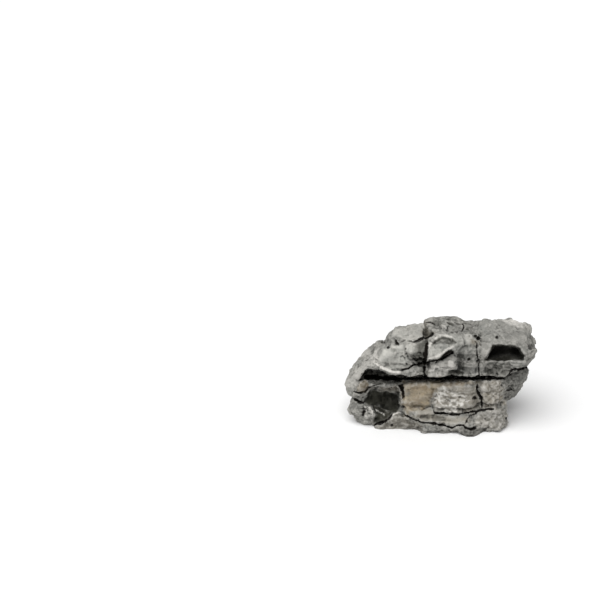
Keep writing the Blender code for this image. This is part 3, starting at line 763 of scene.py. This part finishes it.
def shade_of(mesh):
    """The share of the sky over each point that near rock hides."""
    tree = BVHTree.FromPolygons([v.co for v in mesh.vertices], [tuple(f.vertices) for f in mesh.polygons])
    rays = directions_out(RAYS)
    shade = np.empty(len(mesh.vertices))
    for vertex in mesh.vertices:
        start = vertex.co + vertex.normal * RAY_START
        turn = vertex.normal.to_track_quat("Z", "Y")
        shade[vertex.index] = sum(tree.ray_cast(start, turn @ ray, REACH)[0] is not None for ray in rays)
    return shade / RAYS


def spread_of(mesh, values, turns):
    """Averages a value over neighbouring points, so many turns over."""
    pairs = np.empty(len(mesh.edges) * 2, np.int64)
    mesh.edges.foreach_get("vertices", pairs)
    one, other = pairs.reshape(-1, 2).T
    count = np.bincount(pairs, minlength=len(values))
    for _ in range(turns):
        total = np.bincount(one, values[other], len(values)) + np.bincount(other, values[one], len(values))
        values = (values + total / count) / 2
    return values


shade = spread_of(rock.data, shade_of(rock.data), SHADE_TURNS)
print(f"near rock hides {100 * shade.mean():.0f}% of the sky on average")

# %% Find hollows and edges
NEAR_TURNS = 6  # turns of averaging for small hollows and edges
WIDE_TURNS = 60  # and for large ones


def hollowness(mesh, turns):
    """How far each point lies below the average of the rock round it, in mm."""
    places = places_of(mesh)
    mean = np.stack([spread_of(mesh, places[:, axis], turns) for axis in range(3)], axis=1)
    return ((mean - places) * normals_of(mesh)).sum(axis=1)


near = hollowness(rock.data, NEAR_TURNS)
wide = hollowness(rock.data, WIDE_TURNS)
print("hollows are up to", round(wide.max(), 2), "mm deep; edges stand out", round(-near.min(), 2), "mm")

# %% Outlines of the stains
TOP_PIT = [(30, 92.8), (32.5, 92.5), (35.3, 90.5), (35.2, 88.3), (33, 88), (31.5, 90)]
BROWN_UNDER_PIT = [(27.5, 88), (33, 88.5), (34, 84), (29, 84)]
TAN_STAIN = [(-34, 49), (-18, 51), (4, 50), (10, 47), (0, 43), (-7, 38), (-9, 31), (-14, 27), (-24, 24),
             (-33, 21), (-35, 34)]
LIP_SHADE = [(-64, 44), (-53, 46), (-51, 42), (-58, 40.5), (-64.5, 41)]
UNDER_CAVITY = [(-64, 51), (-38, 51.5), (-36, 48.5), (-52, 48), (-62, 48.5)]
BESIDE_JOINT = [(-20, 86), (-13, 88), (-12.2, 80), (-12.5, 54), (-16.5, 54), (-18.5, 64), (-23, 68),
                (-22, 78)]
VEIN_PATCH = [(-5.5, 43), (4, 45.5), (13.5, 39), (21, 38), (22.5, 30.5), (15.5, 23), (1.5, 22), (-5.5, 26.5),
              (-8.5, 34)]
PALE_SHOULDER = [(-86, 45), (-84, 56), (-74, 66), (-64, 76), (-57, 80), (-55, 70), (-57, 64), (-66, 61),
                 (-74, 55), (-76, 46)]
BRIGHT_SHOULDER = [(-65, 74), (-61.5, 79), (-57, 79), (-57, 71), (-61.5, 70)]
PALE_TOP = [(57.5, 106.5), (69.5, 108), (77, 101.5), (69, 100), (63, 102.5)]
PALE_BY_STROKE = [(36, 46.5), (40, 47.5), (41.5, 43), (38, 40.5), (36, 42)]
PALE_CROWN = [(-6, 99.5), (0, 104), (6, 104.5), (5, 98.5), (-2, 97)]
PALE_BY_PIT = [(20.6, 93.5), (27, 93), (28, 88), (22, 87)]
BROWN_STROKE = [(43, 47.5), (45, 45), (44, 40.5), (40, 37.5)]
# painted shade: the dark arc under the shell's rim
SHADE_UNDER_SHELL_RIM = [(-7.5, 84), (-4.5, 87.3), (0.6, 89.4), (5.6, 90), (10, 88.2), (13, 86.2)]
print("the tan stain is drawn with", len(TAN_STAIN), "corners")

# %% Where each mineral, and the painted shade and highlights, lie on the face
# outline, strength, and how far its edge is spread
DUSTY = [(TAN_STAIN, 1.0, 4.5), (TAN_TOP, 0.9, 1.5), (RIGHT_FOOT, 0.45, 4.0), (LEFT_FOOT, 0.35, 3.0),
         (GREEN_PLATE, 0.35, 3.0), (PEBBLE, 1.0, 1.0), (VEINED_BLOCK, 0.35, 3.0), (CLEFT, 0.5, 2.0),
         (RIGHT_TOE, 0.2, 3.0), (HOLLOW_LIP, 0.4, 2.0), (BROWN_UNDER_PIT, 0.7, 1.5)]
# dark film, and painted shade where the film stands in for shade in recesses and under overhangs, as under
# the nose, in the cleft and on the lips
FILM_AND_SHADE_PATCHES = [(LEFT_HOLLOW, 1.0, 1.5), (DARK_FACET, 1.0, 1.0), (UNDER_CAVITY, 0.5, 1.2), (LIP_SHADE, 0.55, 1.5),
          (UNDER_NOSE, 0.62, 2.5), (CLEFT, 0.65, 2.0), (CHEEK, 0.1, 3.0), (NOTCH, 1.0, 0.8),
          (UNDER_NOTCH, 0.5, 2.0), (HEEL, 0.3, 2.0), (FOOT_BAND, 0.3, 2.0), (SHELL_HOLLOW, 0.5, 1.5),
          (PEBBLE, 0.15, 1.5), (DARK_WEDGE, 0.6, 1.0), (BESIDE_JOINT, 0.8, 2.5), (SLANT_WEDGE, 0.8, 0.8),
          (SHADED_SIDE, 0.3, 2.0), (BROWN_UNDER_PIT, 0.35, 1.5)]
PALE = [(PALE_SHOULDER, 0.4, 3.0), (BRIGHT_SHOULDER, 0.7, 1.5), (PALE_TOP, 0.8, 2.0),
        (UNDER_SHELL, 0.35, 2.0), (BRIGHT_FACET, 0.75, 0.7), (PALE_BY_PIT, 0.3, 1.5),
        (PALE_BY_STROKE, 0.6, 1.2), (PALE_CROWN, 0.35, 2.0)]
# the same, painted as dark as the joints
JOINT_DARK_PATCHES = [(NOTCH, 0.45, 0.7), (SLANT_WEDGE, 0.9, 0.6), (TOP_PIT, 1.0, 0.5)]
# the same, for calcite in small spots
SPOTTED = [(VEIN_PATCH, 1.0, 2.0), (PALE_FACET, 0.45, 1.5), (LEFT_FOOT, 0.3, 2.0), (RIGHT_FOOT, 0.45, 3.0),
           (RIGHT_TOE, 0.5, 3.0), (UNDER_NOTCH, 0.35, 1.5)]
# path and width of the white veins, and of the painted highlights along the rims
VEINS_AND_RIM_HIGHLIGHTS = [
    ([(2, 46), (4, 43), (7.5, 40.5), (13, 39.5), (18, 41.5)], 1.6),
    ([(-6, 38.5), (-2.5, 41), (1, 39), (3.5, 41.5)], 1.4),
    ([(-5.5, 37.5), (-1.5, 33.5), (1.5, 29.5), (4, 25), (8.5, 23.5)], 1.8),
    ([(-1.5, 33.5), (3, 35), (5.5, 33)], 1.2),
    ([(9.5, 32), (12, 33.5), (15, 32), (14.5, 29), (11.5, 28), (9.5, 30), (9.5, 32)], 1.3),
    ([(14, 38), (18, 38.5), (21, 37), (24.5, 38.5)], 1.1),
    ([(5.5, 27.5), (8.5, 29.5), (9, 25)], 1.2),
    ([(18, 34), (22, 33), (26, 34.5)], 1.0),
    ([(-68, 28.5), (-66.8, 24), (-67.5, 19.5)], 1.1),
    ([(-64, 27.5), (-61.8, 23.5), (-62.5, 19.5)], 1.4),
    # the last four run along the raised rims: painted highlights where the rims catch the light
    ([(-11, 80), (-9.8, 84.5), (-6.3, 88.8), (-1, 91.8), (5, 92.4), (9.5, 91)], 2.8),
    ([(-60, 68.5), (-57.5, 66.5), (-52, 62.8), (-47.5, 60.8), (-43, 59.6), (-37.5, 59)], 3.6),
    ([(-11, 60.5), (-6.5, 61), (-5.5, 64.5), (0.5, 62), (6, 61.5), (13, 62.5)], 1.2),
    ([(-11, 71.5), (-4, 73.2), (1, 76.5), (6, 80), (11, 82)], 2.4),
]
# path and width of the white lines that lie over the film
FRESH_LINES = [([(-58.5, 25.5), (-55.5, 23.5), (-51, 21)], 1.2),
               ([(-45, 16.5), (-43.5, 20.5), (-40, 22.5), (-36.5, 23)], 1.7)]
# path, width and strength of strokes of dust and of film; the stroke under the shell's rim is painted shade
DUST_STROKES = [(BROWN_STROKE, 2.4, 0.8)]
FILM_AND_SHADE_STROKES = [(SHADE_UNDER_SHELL_RIM, 2.6, 0.8), (BROWN_STROKE, 2.4, 0.5)]
print("patches:", len(DUSTY + FILM_AND_SHADE_PATCHES + PALE + JOINT_DARK_PATCHES + SPOTTED), "and veins:", len(VEINS_AND_RIM_HIGHLIGHTS + FRESH_LINES))

# %% Helpers that turn a drawing into a mark
RAGGED_SIZE = 4.5
RAGGED_REACH = 1.6  # of the width of the soft edge

places = places_of(rock.data)
seen = wobbled(as_seen(places), places)
towards = faces_viewer(places, normals_of(rock.data), SEEN_WALLS)
elsewhere = 1 - towards
ragged = sample(noise.noise, places, RAGGED_SIZE)


def patch(outline, strength, feather):
    """Full inside the outline. The wider its soft edge, the more raggedly it runs."""
    inside = depth_inside(seen, outline) + RAGGED_REACH * feather * ragged
    return strength * towards * smooth_step(inside, -feather, feather)


def patches(drawn):
    return [patch(*where) for where in drawn]


def stroke(path, width):
    """Full on the middle half of the path's width."""
    return towards * smooth_step(nearest_on_path(seen, path)[0], width / 2, width / 4)


def strokes(drawn):
    return [strength * stroke(path, width) for path, width, strength in drawn]


def cloud(size, low, high, stretch=(1, 1, 1)):
    """Clouds of the given size, which start and are full at two values of the noise."""
    return smooth_step(sample(noise.noise, places * stretch, size), low, high)


print(f"{100 * towards.mean():.0f}% of the stone can take drawn marks")

# %% Dust, film and calcite
LOWER_LAYER = (52, 47)  # heights where its dust starts and is full
# clouds: size, the noise where they start and are full, and how much flatter they lie
DUST_CLOUDS = (24.0, 0.0, 0.35, (1, 1, 1.8))
CROWN_SPECKS = (5.0, 0.1, 0.35)
FILM_CLOUDS = (17.0, 0.2, 0.4, (1, 1, 2))
CALCITE_SPOTS = (2.8, 0.0, 0.22)
CALCITE_CLOUDS = (21.0, 0.2, 0.5)
CROWN_FILM = (CROWN, 0.7, 2.0)  # outline, strength and edge
FILM_ELSEWHERE = 0.8  # strengths on the ends and the back
CALCITE_ELSEWHERE = 0.5
NOTCH_BACK = (0.3, 0.8)  # shade where the back of the notch starts and is full
NOTCH_BACK_PAINTED_LIGHT = 0.35  # the share of its film that is taken off where the back of the notch lies in shade, as painted light

lower_layer = smooth_step(places[:, 2], *LOWER_LAYER)
fresh = np.max([stroke(*line) for line in FRESH_LINES], axis=0)

dust = np.max([
    *patches(DUSTY),
    *strokes(DUST_STROKES),
    elsewhere * lower_layer * cloud(*DUST_CLOUDS),
], axis=0)
# dark film, partly painted shade in recesses and under overhangs
film_and_shade = np.max([
    *patches(FILM_AND_SHADE_PATCHES),
    *strokes(FILM_AND_SHADE_STROKES),
    cloud(*CROWN_SPECKS) * patch(*CROWN_FILM),
    FILM_ELSEWHERE * elsewhere * cloud(*FILM_CLOUDS),
], axis=0)
# painted light: the film thins where the notch lies deep in shade, so its back doesn't go black
notch_back = patch(NOTCH, 1.0, 1.0) * smooth_step(shade, *NOTCH_BACK)
film_and_shade *= (1 - fresh) * (1 - NOTCH_BACK_PAINTED_LIGHT * notch_back)
spots = cloud(*CALCITE_SPOTS)
# white calcite, and painted highlights along the rims
calcite_and_highlights = np.max([
    fresh,
    *[stroke(*vein) for vein in VEINS_AND_RIM_HIGHLIGHTS],
    *patches(PALE),
    *[spots * spotted for spotted in patches(SPOTTED)],
    CALCITE_ELSEWHERE * elsewhere * cloud(*CALCITE_CLOUDS),
], axis=0)
covered = [round(100 * (values > 0.5).mean()) for values in (dust, film_and_shade, calcite_and_highlights)]
print("dust, film and calcite cover", covered, "percent of the points")

# %% Joints, painted shade in hollows, worn edges, and painted shade where the sky is hidden
JOINT_DIRT_DEPTHS = (0.15, 1.6)  # depths where the painted shade of a hollow starts and is full
WIDE_HOLLOW_SHADE = (0.1, 1.5)  # the same for hollows
NEAR_HOLLOW_SHADE = (0.04, 0.4)
WIDE_SHARE = 0.6
NEAR_SHARE = 0.4
WORN_EDGES = (0.06, 0.4)  # how far out an edge is where its wear starts and is full
FILM_OVER_EDGES = 0.7  # how much of the wear the film hides
DEEP_SHADE = (0.4, 0.95)  # shade where the painted shade starts and is full
# recesses that get less painted shade: outline, share of the painted shade that goes, and how far its edge is
# spread
LESS_PAINTED_SHADE = [(UNDER_NOSE, 0.95, 2.5), (CAVITY, 0.55, 1.5), (NOTCH, 0.85, 1.0)]

in_joints = towards * smooth_step(joint_depths(seen, places), *JOINT_DIRT_DEPTHS)
joints = np.max([in_joints, *patches(JOINT_DARK_PATCHES)], axis=0)
# painted shade: darker the deeper a spot lies below the rock round it
hollows = smooth_step(wide, *WIDE_HOLLOW_SHADE) * WIDE_SHARE + smooth_step(near, *NEAR_HOLLOW_SHADE) * NEAR_SHARE
edges = smooth_step(-near, *WORN_EDGES) * (1 - FILM_OVER_EDGES * film_and_shade)
# painted shade: the colour darkens where near rock hides the sky, less in the recesses listed above
deep = smooth_step(shade, *DEEP_SHADE)
for shade_taken_off in patches(LESS_PAINTED_SHADE):
    deep *= 1 - shade_taken_off
print(f"joints darken {100 * (joints > 0.5).mean():.0f}% of the points")

# %% Lighter and darker plates
TONE_EDGE = 1.2  # how far its change of tone spreads on each side of a plate's outline
FACET_TONE = 0.2  # how much lighter or darker one broken face is than the next
TONE_KEY = 8.9  # the middle of a face times this picks its number


def cell_of_face(place):
    """A fixed number from 0 to 1 for each broken face."""
    return noise.cell(face_at(place)[1] * TONE_KEY)


# partly painted light: lit plates are painted lighter and shaded ones darker; each broken face adds a tone
# that differs at random
tone = np.zeros(len(places))
for outline, _, _, shift in PLATES:
    tone += shift * towards * smooth_step(depth_inside(seen, outline), -TONE_EDGE, TONE_EDGE)
middle_size = FACETS[1][0]
tone += FACET_TONE * (sample(cell_of_face, places, middle_size) - 0.5)
print("the tone goes from", round(tone.min(), 2), "to", round(tone.max(), 2))

# %% Store the marks on the mesh
MARKS = {"dust": dust, "film_and_shade": film_and_shade, "calcite_and_highlights": calcite_and_highlights, "joints": joints, "hollows": hollows, "edges": edges,
         "deep": deep, "tone": tone}
for name, values in MARKS.items():
    values = np.clip(values, -1, 1).astype(np.float32)
    rock.data.attributes.new(name, "FLOAT", "POINT").data.foreach_set("value", values)
    print(f"{name}: {100 * values.mean():.1f}% on average over the stone")

# %% [markdown]
# ## Building node trees in text
#
# A material's nodes can be placed by hand in the shader editor. In a script it helps to have one
# helper that adds a node and wires it at once. Effects are kept as node groups with named inputs,
# so that each can be tried alone and used with other values.

# %% Node helpers


def add(tree, kind, wires, **settings):
    """Adds a node, sets its properties, and sets or links its inputs by name or number."""
    made = tree.nodes.new(kind)
    for name, value in settings.items():
        setattr(made, name, value)
    for name, value in wires.items():
        if isinstance(value, bpy.types.NodeSocket):
            tree.links.new(value, made.inputs[name])
        else:
            made.inputs[name].default_value = value
    return made


def noise_value(tree, place, scale, detail=4.0, rough=0.55):
    wires = {"Vector": place, "Scale": scale, "Detail": detail, "Roughness": rough}
    return add(tree, "ShaderNodeTexNoise", wires).outputs["Fac"]


def remap(tree, value, low, high, to_low=0.0, to_high=1.0):
    """The value, moved from one range to another and kept inside it."""
    wires = {"Value": value, "From Min": low, "From Max": high, "To Min": to_low, "To Max": to_high}
    return add(tree, "ShaderNodeMapRange", wires).outputs["Result"]


def mix_colour(tree, factor, one, other, blend="MIX"):
    wires = {0: factor, 6: one, 7: other}
    return add(tree, "ShaderNodeMix", wires, data_type="RGBA", blend_type=blend).outputs[2]


def calc(tree, operation, one, other=0.0):
    return add(tree, "ShaderNodeMath", {0: one, 1: other}, operation=operation).outputs[0]


def grey(level):
    return (level, level, level, 1.0)


def new_group(name, inputs, outputs):
    """A shader node group. inputs are (name, kind, default), outputs are (name, kind)."""
    tree = bpy.data.node_groups.new(name, "ShaderNodeTree")
    for label, kind, default in inputs:
        socket = tree.interface.new_socket(label, in_out="INPUT", socket_type=kind)
        if default is not None:
            socket.default_value = default
    for label, kind in outputs:
        tree.interface.new_socket(label, in_out="OUTPUT", socket_type=kind)
    return tree, tree.nodes.new("NodeGroupInput").outputs, tree.nodes.new("NodeGroupOutput")


def use(tree, group, wires):
    """Places a node group in a tree, and gives its outputs."""
    return add(tree, "ShaderNodeGroup", wires, node_tree=group).outputs


print("helpers are ready for", len(MARKS), "marks")

# %% [markdown]
# ## Mottling
#
# Grey limestone is never one grey. Broad clouds of a cooler and a warmer grey come from the mud it
# formed from, and small dark and light grains show close up. One group makes both from a place on
# the rock, and any stone material can use it with its own colours.

# %% The mottling group
MIDDLE_OF_NOISE = (0.3, 0.7)  # most values of the noise texture lie between these
CLOUD_EDGES = (0.35, 0.65)  # values of the noise where the cool and the warm grey are full


def build_mottling():
    tree, given, result = new_group(
        "mottling",
        [("Place", "NodeSocketVector", None), ("Cool", "NodeSocketColor", grey(0.3)),
         ("Warm", "NodeSocketColor", grey(0.4)), ("Cloud Scale", "NodeSocketFloat", 40.0),
         ("Grain Scale", "NodeSocketFloat", 900.0), ("Grain", "NodeSocketFloat", 0.3)],
        [("Color", "NodeSocketColor")])
    clouds = noise_value(tree, given["Place"], given["Cloud Scale"], detail=5.0, rough=0.6)
    base = mix_colour(tree, remap(tree, clouds, *CLOUD_EDGES), given["Cool"], given["Warm"])
    grains = noise_value(tree, given["Place"], given["Grain Scale"], detail=3.0, rough=0.7)
    speckle = mix_colour(tree, given["Grain"], base, remap(tree, grains, *MIDDLE_OF_NOISE), "OVERLAY")
    tree.links.new(speckle, result.inputs["Color"])
    return tree


mottling = build_mottling()
print("made the group", mottling.name)

# %% [markdown]
# ## Grain relief
#
# The mesh carries everything down to about a millimetre. Below that, a bump gives the sugary break
# of the rock: small grains, and tiny pinholes between them.

# %% The relief group
PINHOLE_SCALE = 620.0
PINHOLE_SIDES = (0.12, 0.3)  # from its middle, where the side of a pinhole starts and ends


def build_grain_relief():
    """Grains stand up, and pinholes go down between them."""
    tree, given, result = new_group(
        "grain relief",
        [("Place", "NodeSocketVector", None), ("Grain Scale", "NodeSocketFloat", 1400.0),
         ("Pinholes", "NodeSocketFloat", 0.4)],
        [("Height", "NodeSocketFloat")])
    grains = noise_value(tree, given["Place"], given["Grain Scale"], detail=6.0, rough=0.65)
    cells = add(tree, "ShaderNodeTexVoronoi", {"Vector": given["Place"], "Scale": PINHOLE_SCALE})
    between_holes = remap(tree, cells.outputs["Distance"], *PINHOLE_SIDES)
    depth = calc(tree, "MULTIPLY", calc(tree, "SUBTRACT", 1.0, between_holes), given["Pinholes"])
    height = calc(tree, "SUBTRACT", grains, depth)
    tree.links.new(height, result.inputs["Height"])
    return tree


grain_relief = build_grain_relief()
print("made the group", grain_relief.name)

# %% [markdown]
# ## Fine lines
#
# Two kinds of thin line run over the whole stone: hairline cracks filled with white calcite, and
# open ones that hold dirt. Both are places where a slow noise passes through its middle value, so
# one group makes them, with its own spacing and width for each kind.

# %% The fine line group
MIDDLE_VALUE = 0.5  # a line runs where the noise has this value


def build_fine_lines():
    tree, given, result = new_group(
        "fine lines",
        [("Place", "NodeSocketVector", None), ("Scale", "NodeSocketFloat", 50.0),
         ("Width", "NodeSocketFloat", 0.01)],
        [("Mask", "NodeSocketFloat")])
    field = noise_value(tree, given["Place"], given["Scale"], detail=5.0, rough=0.5)
    from_line = calc(tree, "ABSOLUTE", calc(tree, "SUBTRACT", field, MIDDLE_VALUE))
    mask = remap(tree, from_line, 0.0, given["Width"], to_low=1.0, to_high=0.0)
    tree.links.new(mask, result.inputs["Mask"])
    return tree


fine_lines = build_fine_lines()
print("made the group", fine_lines.name)

# %% [markdown]
# ## The limestone itself
#
# The finish is built up in the order that it came about: bare grey rock, tan dust on the lower
# layer, white calcite in veins, dark film in the hollows, edges worn pale, and last the dirt at the
# bottom of the joints. Painted light goes in among these layers: the tone lightens lit plates and
# darkens shaded ones, white strokes along the rims are painted highlights, the film in recesses and
# under overhangs is painted shade, and hollows and places that near rock hides from the sky are
# darkened as painted shade. Noise breaks up the dust, the calcite, the film and the fine lines, so
# that none of them ends in a clean line.

# %% The colour of the limestone
BARE_COOL = (0.188, 0.188, 0.174, 1.0)
BARE_WARM = (0.28, 0.273, 0.25, 1.0)
DUST_BROWN = (0.205, 0.158, 0.10, 1.0)
DUST_TAN = (0.295, 0.245, 0.168, 1.0)
# white calcite, also the colour of the painted highlights on the rims
CALCITE_AND_HIGHLIGHT = (0.60, 0.58, 0.54, 1.0)
# dark film, also used as painted shade in recesses and under overhangs
DARK_FILM_AND_SHADE = (0.03, 0.0295, 0.0225, 1.0)
JOINT_DIRT = (0.007, 0.0058, 0.0045, 1.0)

GRAINS = 1100.0
BARE_MOTTLING = {"Cool": BARE_COOL, "Warm": BARE_WARM, "Cloud Scale": 60.0, "Grain Scale": GRAINS,
                 "Grain": 0.2}
DUST_MOTTLING = {"Cool": DUST_BROWN, "Warm": DUST_TAN, "Cloud Scale": 90.0, "Grain Scale": GRAINS,
                 "Grain": 0.15}
WHITE_LINES = {"Scale": 38.0, "Width": 0.012}
OPEN_LINES = {"Scale": 70.0, "Width": 0.010}

# scale of the noise that breaks up a layer, and how strong the layer is where it is weakest and strongest
DUST_BREAKS = (120.0, 0.6, 1.0)
WHITE_LINE_BREAKS = (30.0, -0.6, 0.7)
CALCITE_AND_HIGHLIGHT_BREAKS = (420.0, 0.5, 1.2)
FILM_AND_SHADE_BREAKS = (150.0, 0.9, 1.05)
OPEN_LINE_BREAKS = (45.0, -0.5, 0.8)

EDGE_WEAR = 0.25  # how much calcite white a worn edge takes on
OPEN_LINE_LEVEL = 0.3  # the share of its lightness that the rock keeps in open lines
HOLLOW_SHADE_LEVEL = 0.25  # and in hollows, as painted shade
PAINTED_SHADE_LEVEL = 0.05  # and where light can't reach, as painted shade


def mark(tree, name):
    return add(tree, "ShaderNodeAttribute", {}, attribute_name=name).outputs["Fac"]


def broken_up(tree, factor, place, scale, least, most):
    """The mark, weakened and strengthened by noise."""
    strength = remap(tree, noise_value(tree, place, scale), *MIDDLE_OF_NOISE, least, most)
    return calc(tree, "MULTIPLY", factor, strength)


def darkened(tree, factor, colour, level):
    """The colour, darkened to the given share of itself where the factor is 1."""
    return mix_colour(tree, factor, colour, mix_colour(tree, 1.0, colour, grey(level), "MULTIPLY"))


def stone_colour(tree, place):
    """Lays the finish on in layers, the oldest first, with painted shade and painted highlights among them.
    """
    bare = use(tree, mottling, {"Place": place, **BARE_MOTTLING})["Color"]
    dust = use(tree, mottling, {"Place": place, **DUST_MOTTLING})["Color"]
    white_lines = use(tree, fine_lines, {"Place": place, **WHITE_LINES})["Mask"]
    open_lines = use(tree, fine_lines, {"Place": place, **OPEN_LINES})["Mask"]

    dusted = broken_up(tree, mark(tree, "dust"), place, *DUST_BREAKS)
    colour = mix_colour(tree, dusted, bare, dust)
    # the tone: the rock's own tone, and painted light where lit plates are lighter and shaded ones darker
    lightness = calc(tree, "ADD", mark(tree, "tone"), 1.0)
    colour = add(tree, "ShaderNodeHueSaturation", {"Color": colour, "Value": lightness}).outputs["Color"]
    white_lines = broken_up(tree, white_lines, place, *WHITE_LINE_BREAKS)
    colour = mix_colour(tree, white_lines, colour, CALCITE_AND_HIGHLIGHT)
    # white calcite, and painted highlights along the rims
    whitened_and_highlighted = broken_up(tree, mark(tree, "calcite_and_highlights"), place, *CALCITE_AND_HIGHLIGHT_BREAKS)
    colour = mix_colour(tree, whitened_and_highlighted, colour, CALCITE_AND_HIGHLIGHT)
    # dark film, and painted shade in recesses and under overhangs
    filmed_and_shaded = broken_up(tree, mark(tree, "film_and_shade"), place, *FILM_AND_SHADE_BREAKS)
    colour = mix_colour(tree, filmed_and_shaded, colour, DARK_FILM_AND_SHADE)
    open_lines = broken_up(tree, open_lines, place, *OPEN_LINE_BREAKS)
    colour = darkened(tree, open_lines, colour, OPEN_LINE_LEVEL)
    worn = calc(tree, "MULTIPLY", mark(tree, "edges"), EDGE_WEAR)
    colour = mix_colour(tree, worn, colour, CALCITE_AND_HIGHLIGHT)
    # painted shade in the hollows
    colour = darkened(tree, mark(tree, "hollows"), colour, HOLLOW_SHADE_LEVEL)
    # painted shade where near rock hides the sky
    colour = darkened(tree, mark(tree, "deep"), colour, PAINTED_SHADE_LEVEL)
    return mix_colour(tree, mark(tree, "joints"), colour, JOINT_DIRT)


print("bare rock goes from", BARE_COOL[:3], "to", BARE_WARM[:3])

# %% The limestone material, and what the stone stands for
GLOSS_SCALE = 300.0
ROUGHNESS = (0.72, 0.95)
SHINE = 0.06  # dry limestone reflects very little
RELIEF = {"Grain Scale": 1300.0, "Pinholes": 0.4}
RELIEF_STRENGTH = 0.5
RELIEF_DISTANCE = 0.3 * MM


def build_limestone():
    finish = bpy.data.materials.new("weathered limestone")
    finish.use_nodes = True
    tree = finish.node_tree
    surface = tree.nodes["Principled BSDF"]
    place = add(tree, "ShaderNodeTexCoord", {}).outputs["Object"]
    tree.links.new(stone_colour(tree, place), surface.inputs["Base Color"])

    roughness = remap(tree, noise_value(tree, place, GLOSS_SCALE), *MIDDLE_OF_NOISE, *ROUGHNESS)
    tree.links.new(roughness, surface.inputs["Roughness"])
    surface.inputs["Specular IOR Level"].default_value = SHINE

    height = use(tree, grain_relief, {"Place": place, **RELIEF})["Height"]
    wires = {"Height": height, "Strength": RELIEF_STRENGTH, "Distance": RELIEF_DISTANCE}
    bump = add(tree, "ShaderNodeBump", wires)
    tree.links.new(bump.outputs["Normal"], surface.inputs["Normal"])
    return finish


rock.data.materials.clear()
rock.data.materials.append(build_limestone())
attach(rock, "root")
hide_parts("stone")
print("the stone is dressed")

# %% [markdown]
# ## Floor and light
#
# A plain pale floor and one large soft light above and in front let the ledges throw their own
# shadows. A weak even light from all round keeps the shadows from going black where the rock still
# shows, and leaves the joints dark.

# %% Floor
FLOOR_SIZE = 6.0
FLOOR_GREY = 0.87
FLOOR_ROUGHNESS = 0.9

bpy.ops.mesh.primitive_plane_add(size=FLOOR_SIZE)
floor = bpy.context.object
floor.name = "floor"
paint = bpy.data.materials.new("pale floor")
paint.use_nodes = True
paint_surface = paint.node_tree.nodes["Principled BSDF"]
paint_surface.inputs["Base Color"].default_value = grey(FLOOR_GREY)
paint_surface.inputs["Roughness"].default_value = FLOOR_ROUGHNESS
floor.data.materials.append(paint)
print("the floor is", FLOOR_SIZE, "m wide")

# %% Lights
KEY_HEIGHT = math.radians(60)
KEY_LEFT = math.radians(30)
KEY_SOFTNESS = math.radians(55)
KEY_STRENGTH = 3.1
SKY_STRENGTH = 0.38

key = bpy.data.objects.new("key", bpy.data.lights.new("key", "SUN"))
key.data.angle = KEY_SOFTNESS
key.data.energy = KEY_STRENGTH
level = math.cos(KEY_HEIGHT)
to_key = Vector((-math.sin(KEY_LEFT) * level, -math.cos(KEY_LEFT) * level, math.sin(KEY_HEIGHT)))
key.rotation_euler = to_key.to_track_quat("Z", "Y").to_euler()
bpy.context.scene.collection.objects.link(key)

sky = bpy.data.worlds.new("sky")
sky.use_nodes = True
sky.node_tree.nodes["Background"].inputs["Color"].default_value = grey(1.0)
sky.node_tree.nodes["Background"].inputs["Strength"].default_value = SKY_STRENGTH
bpy.context.scene.world = sky
bpy.context.scene.view_settings.view_transform = "Standard"
print("one soft key light and an even sky")
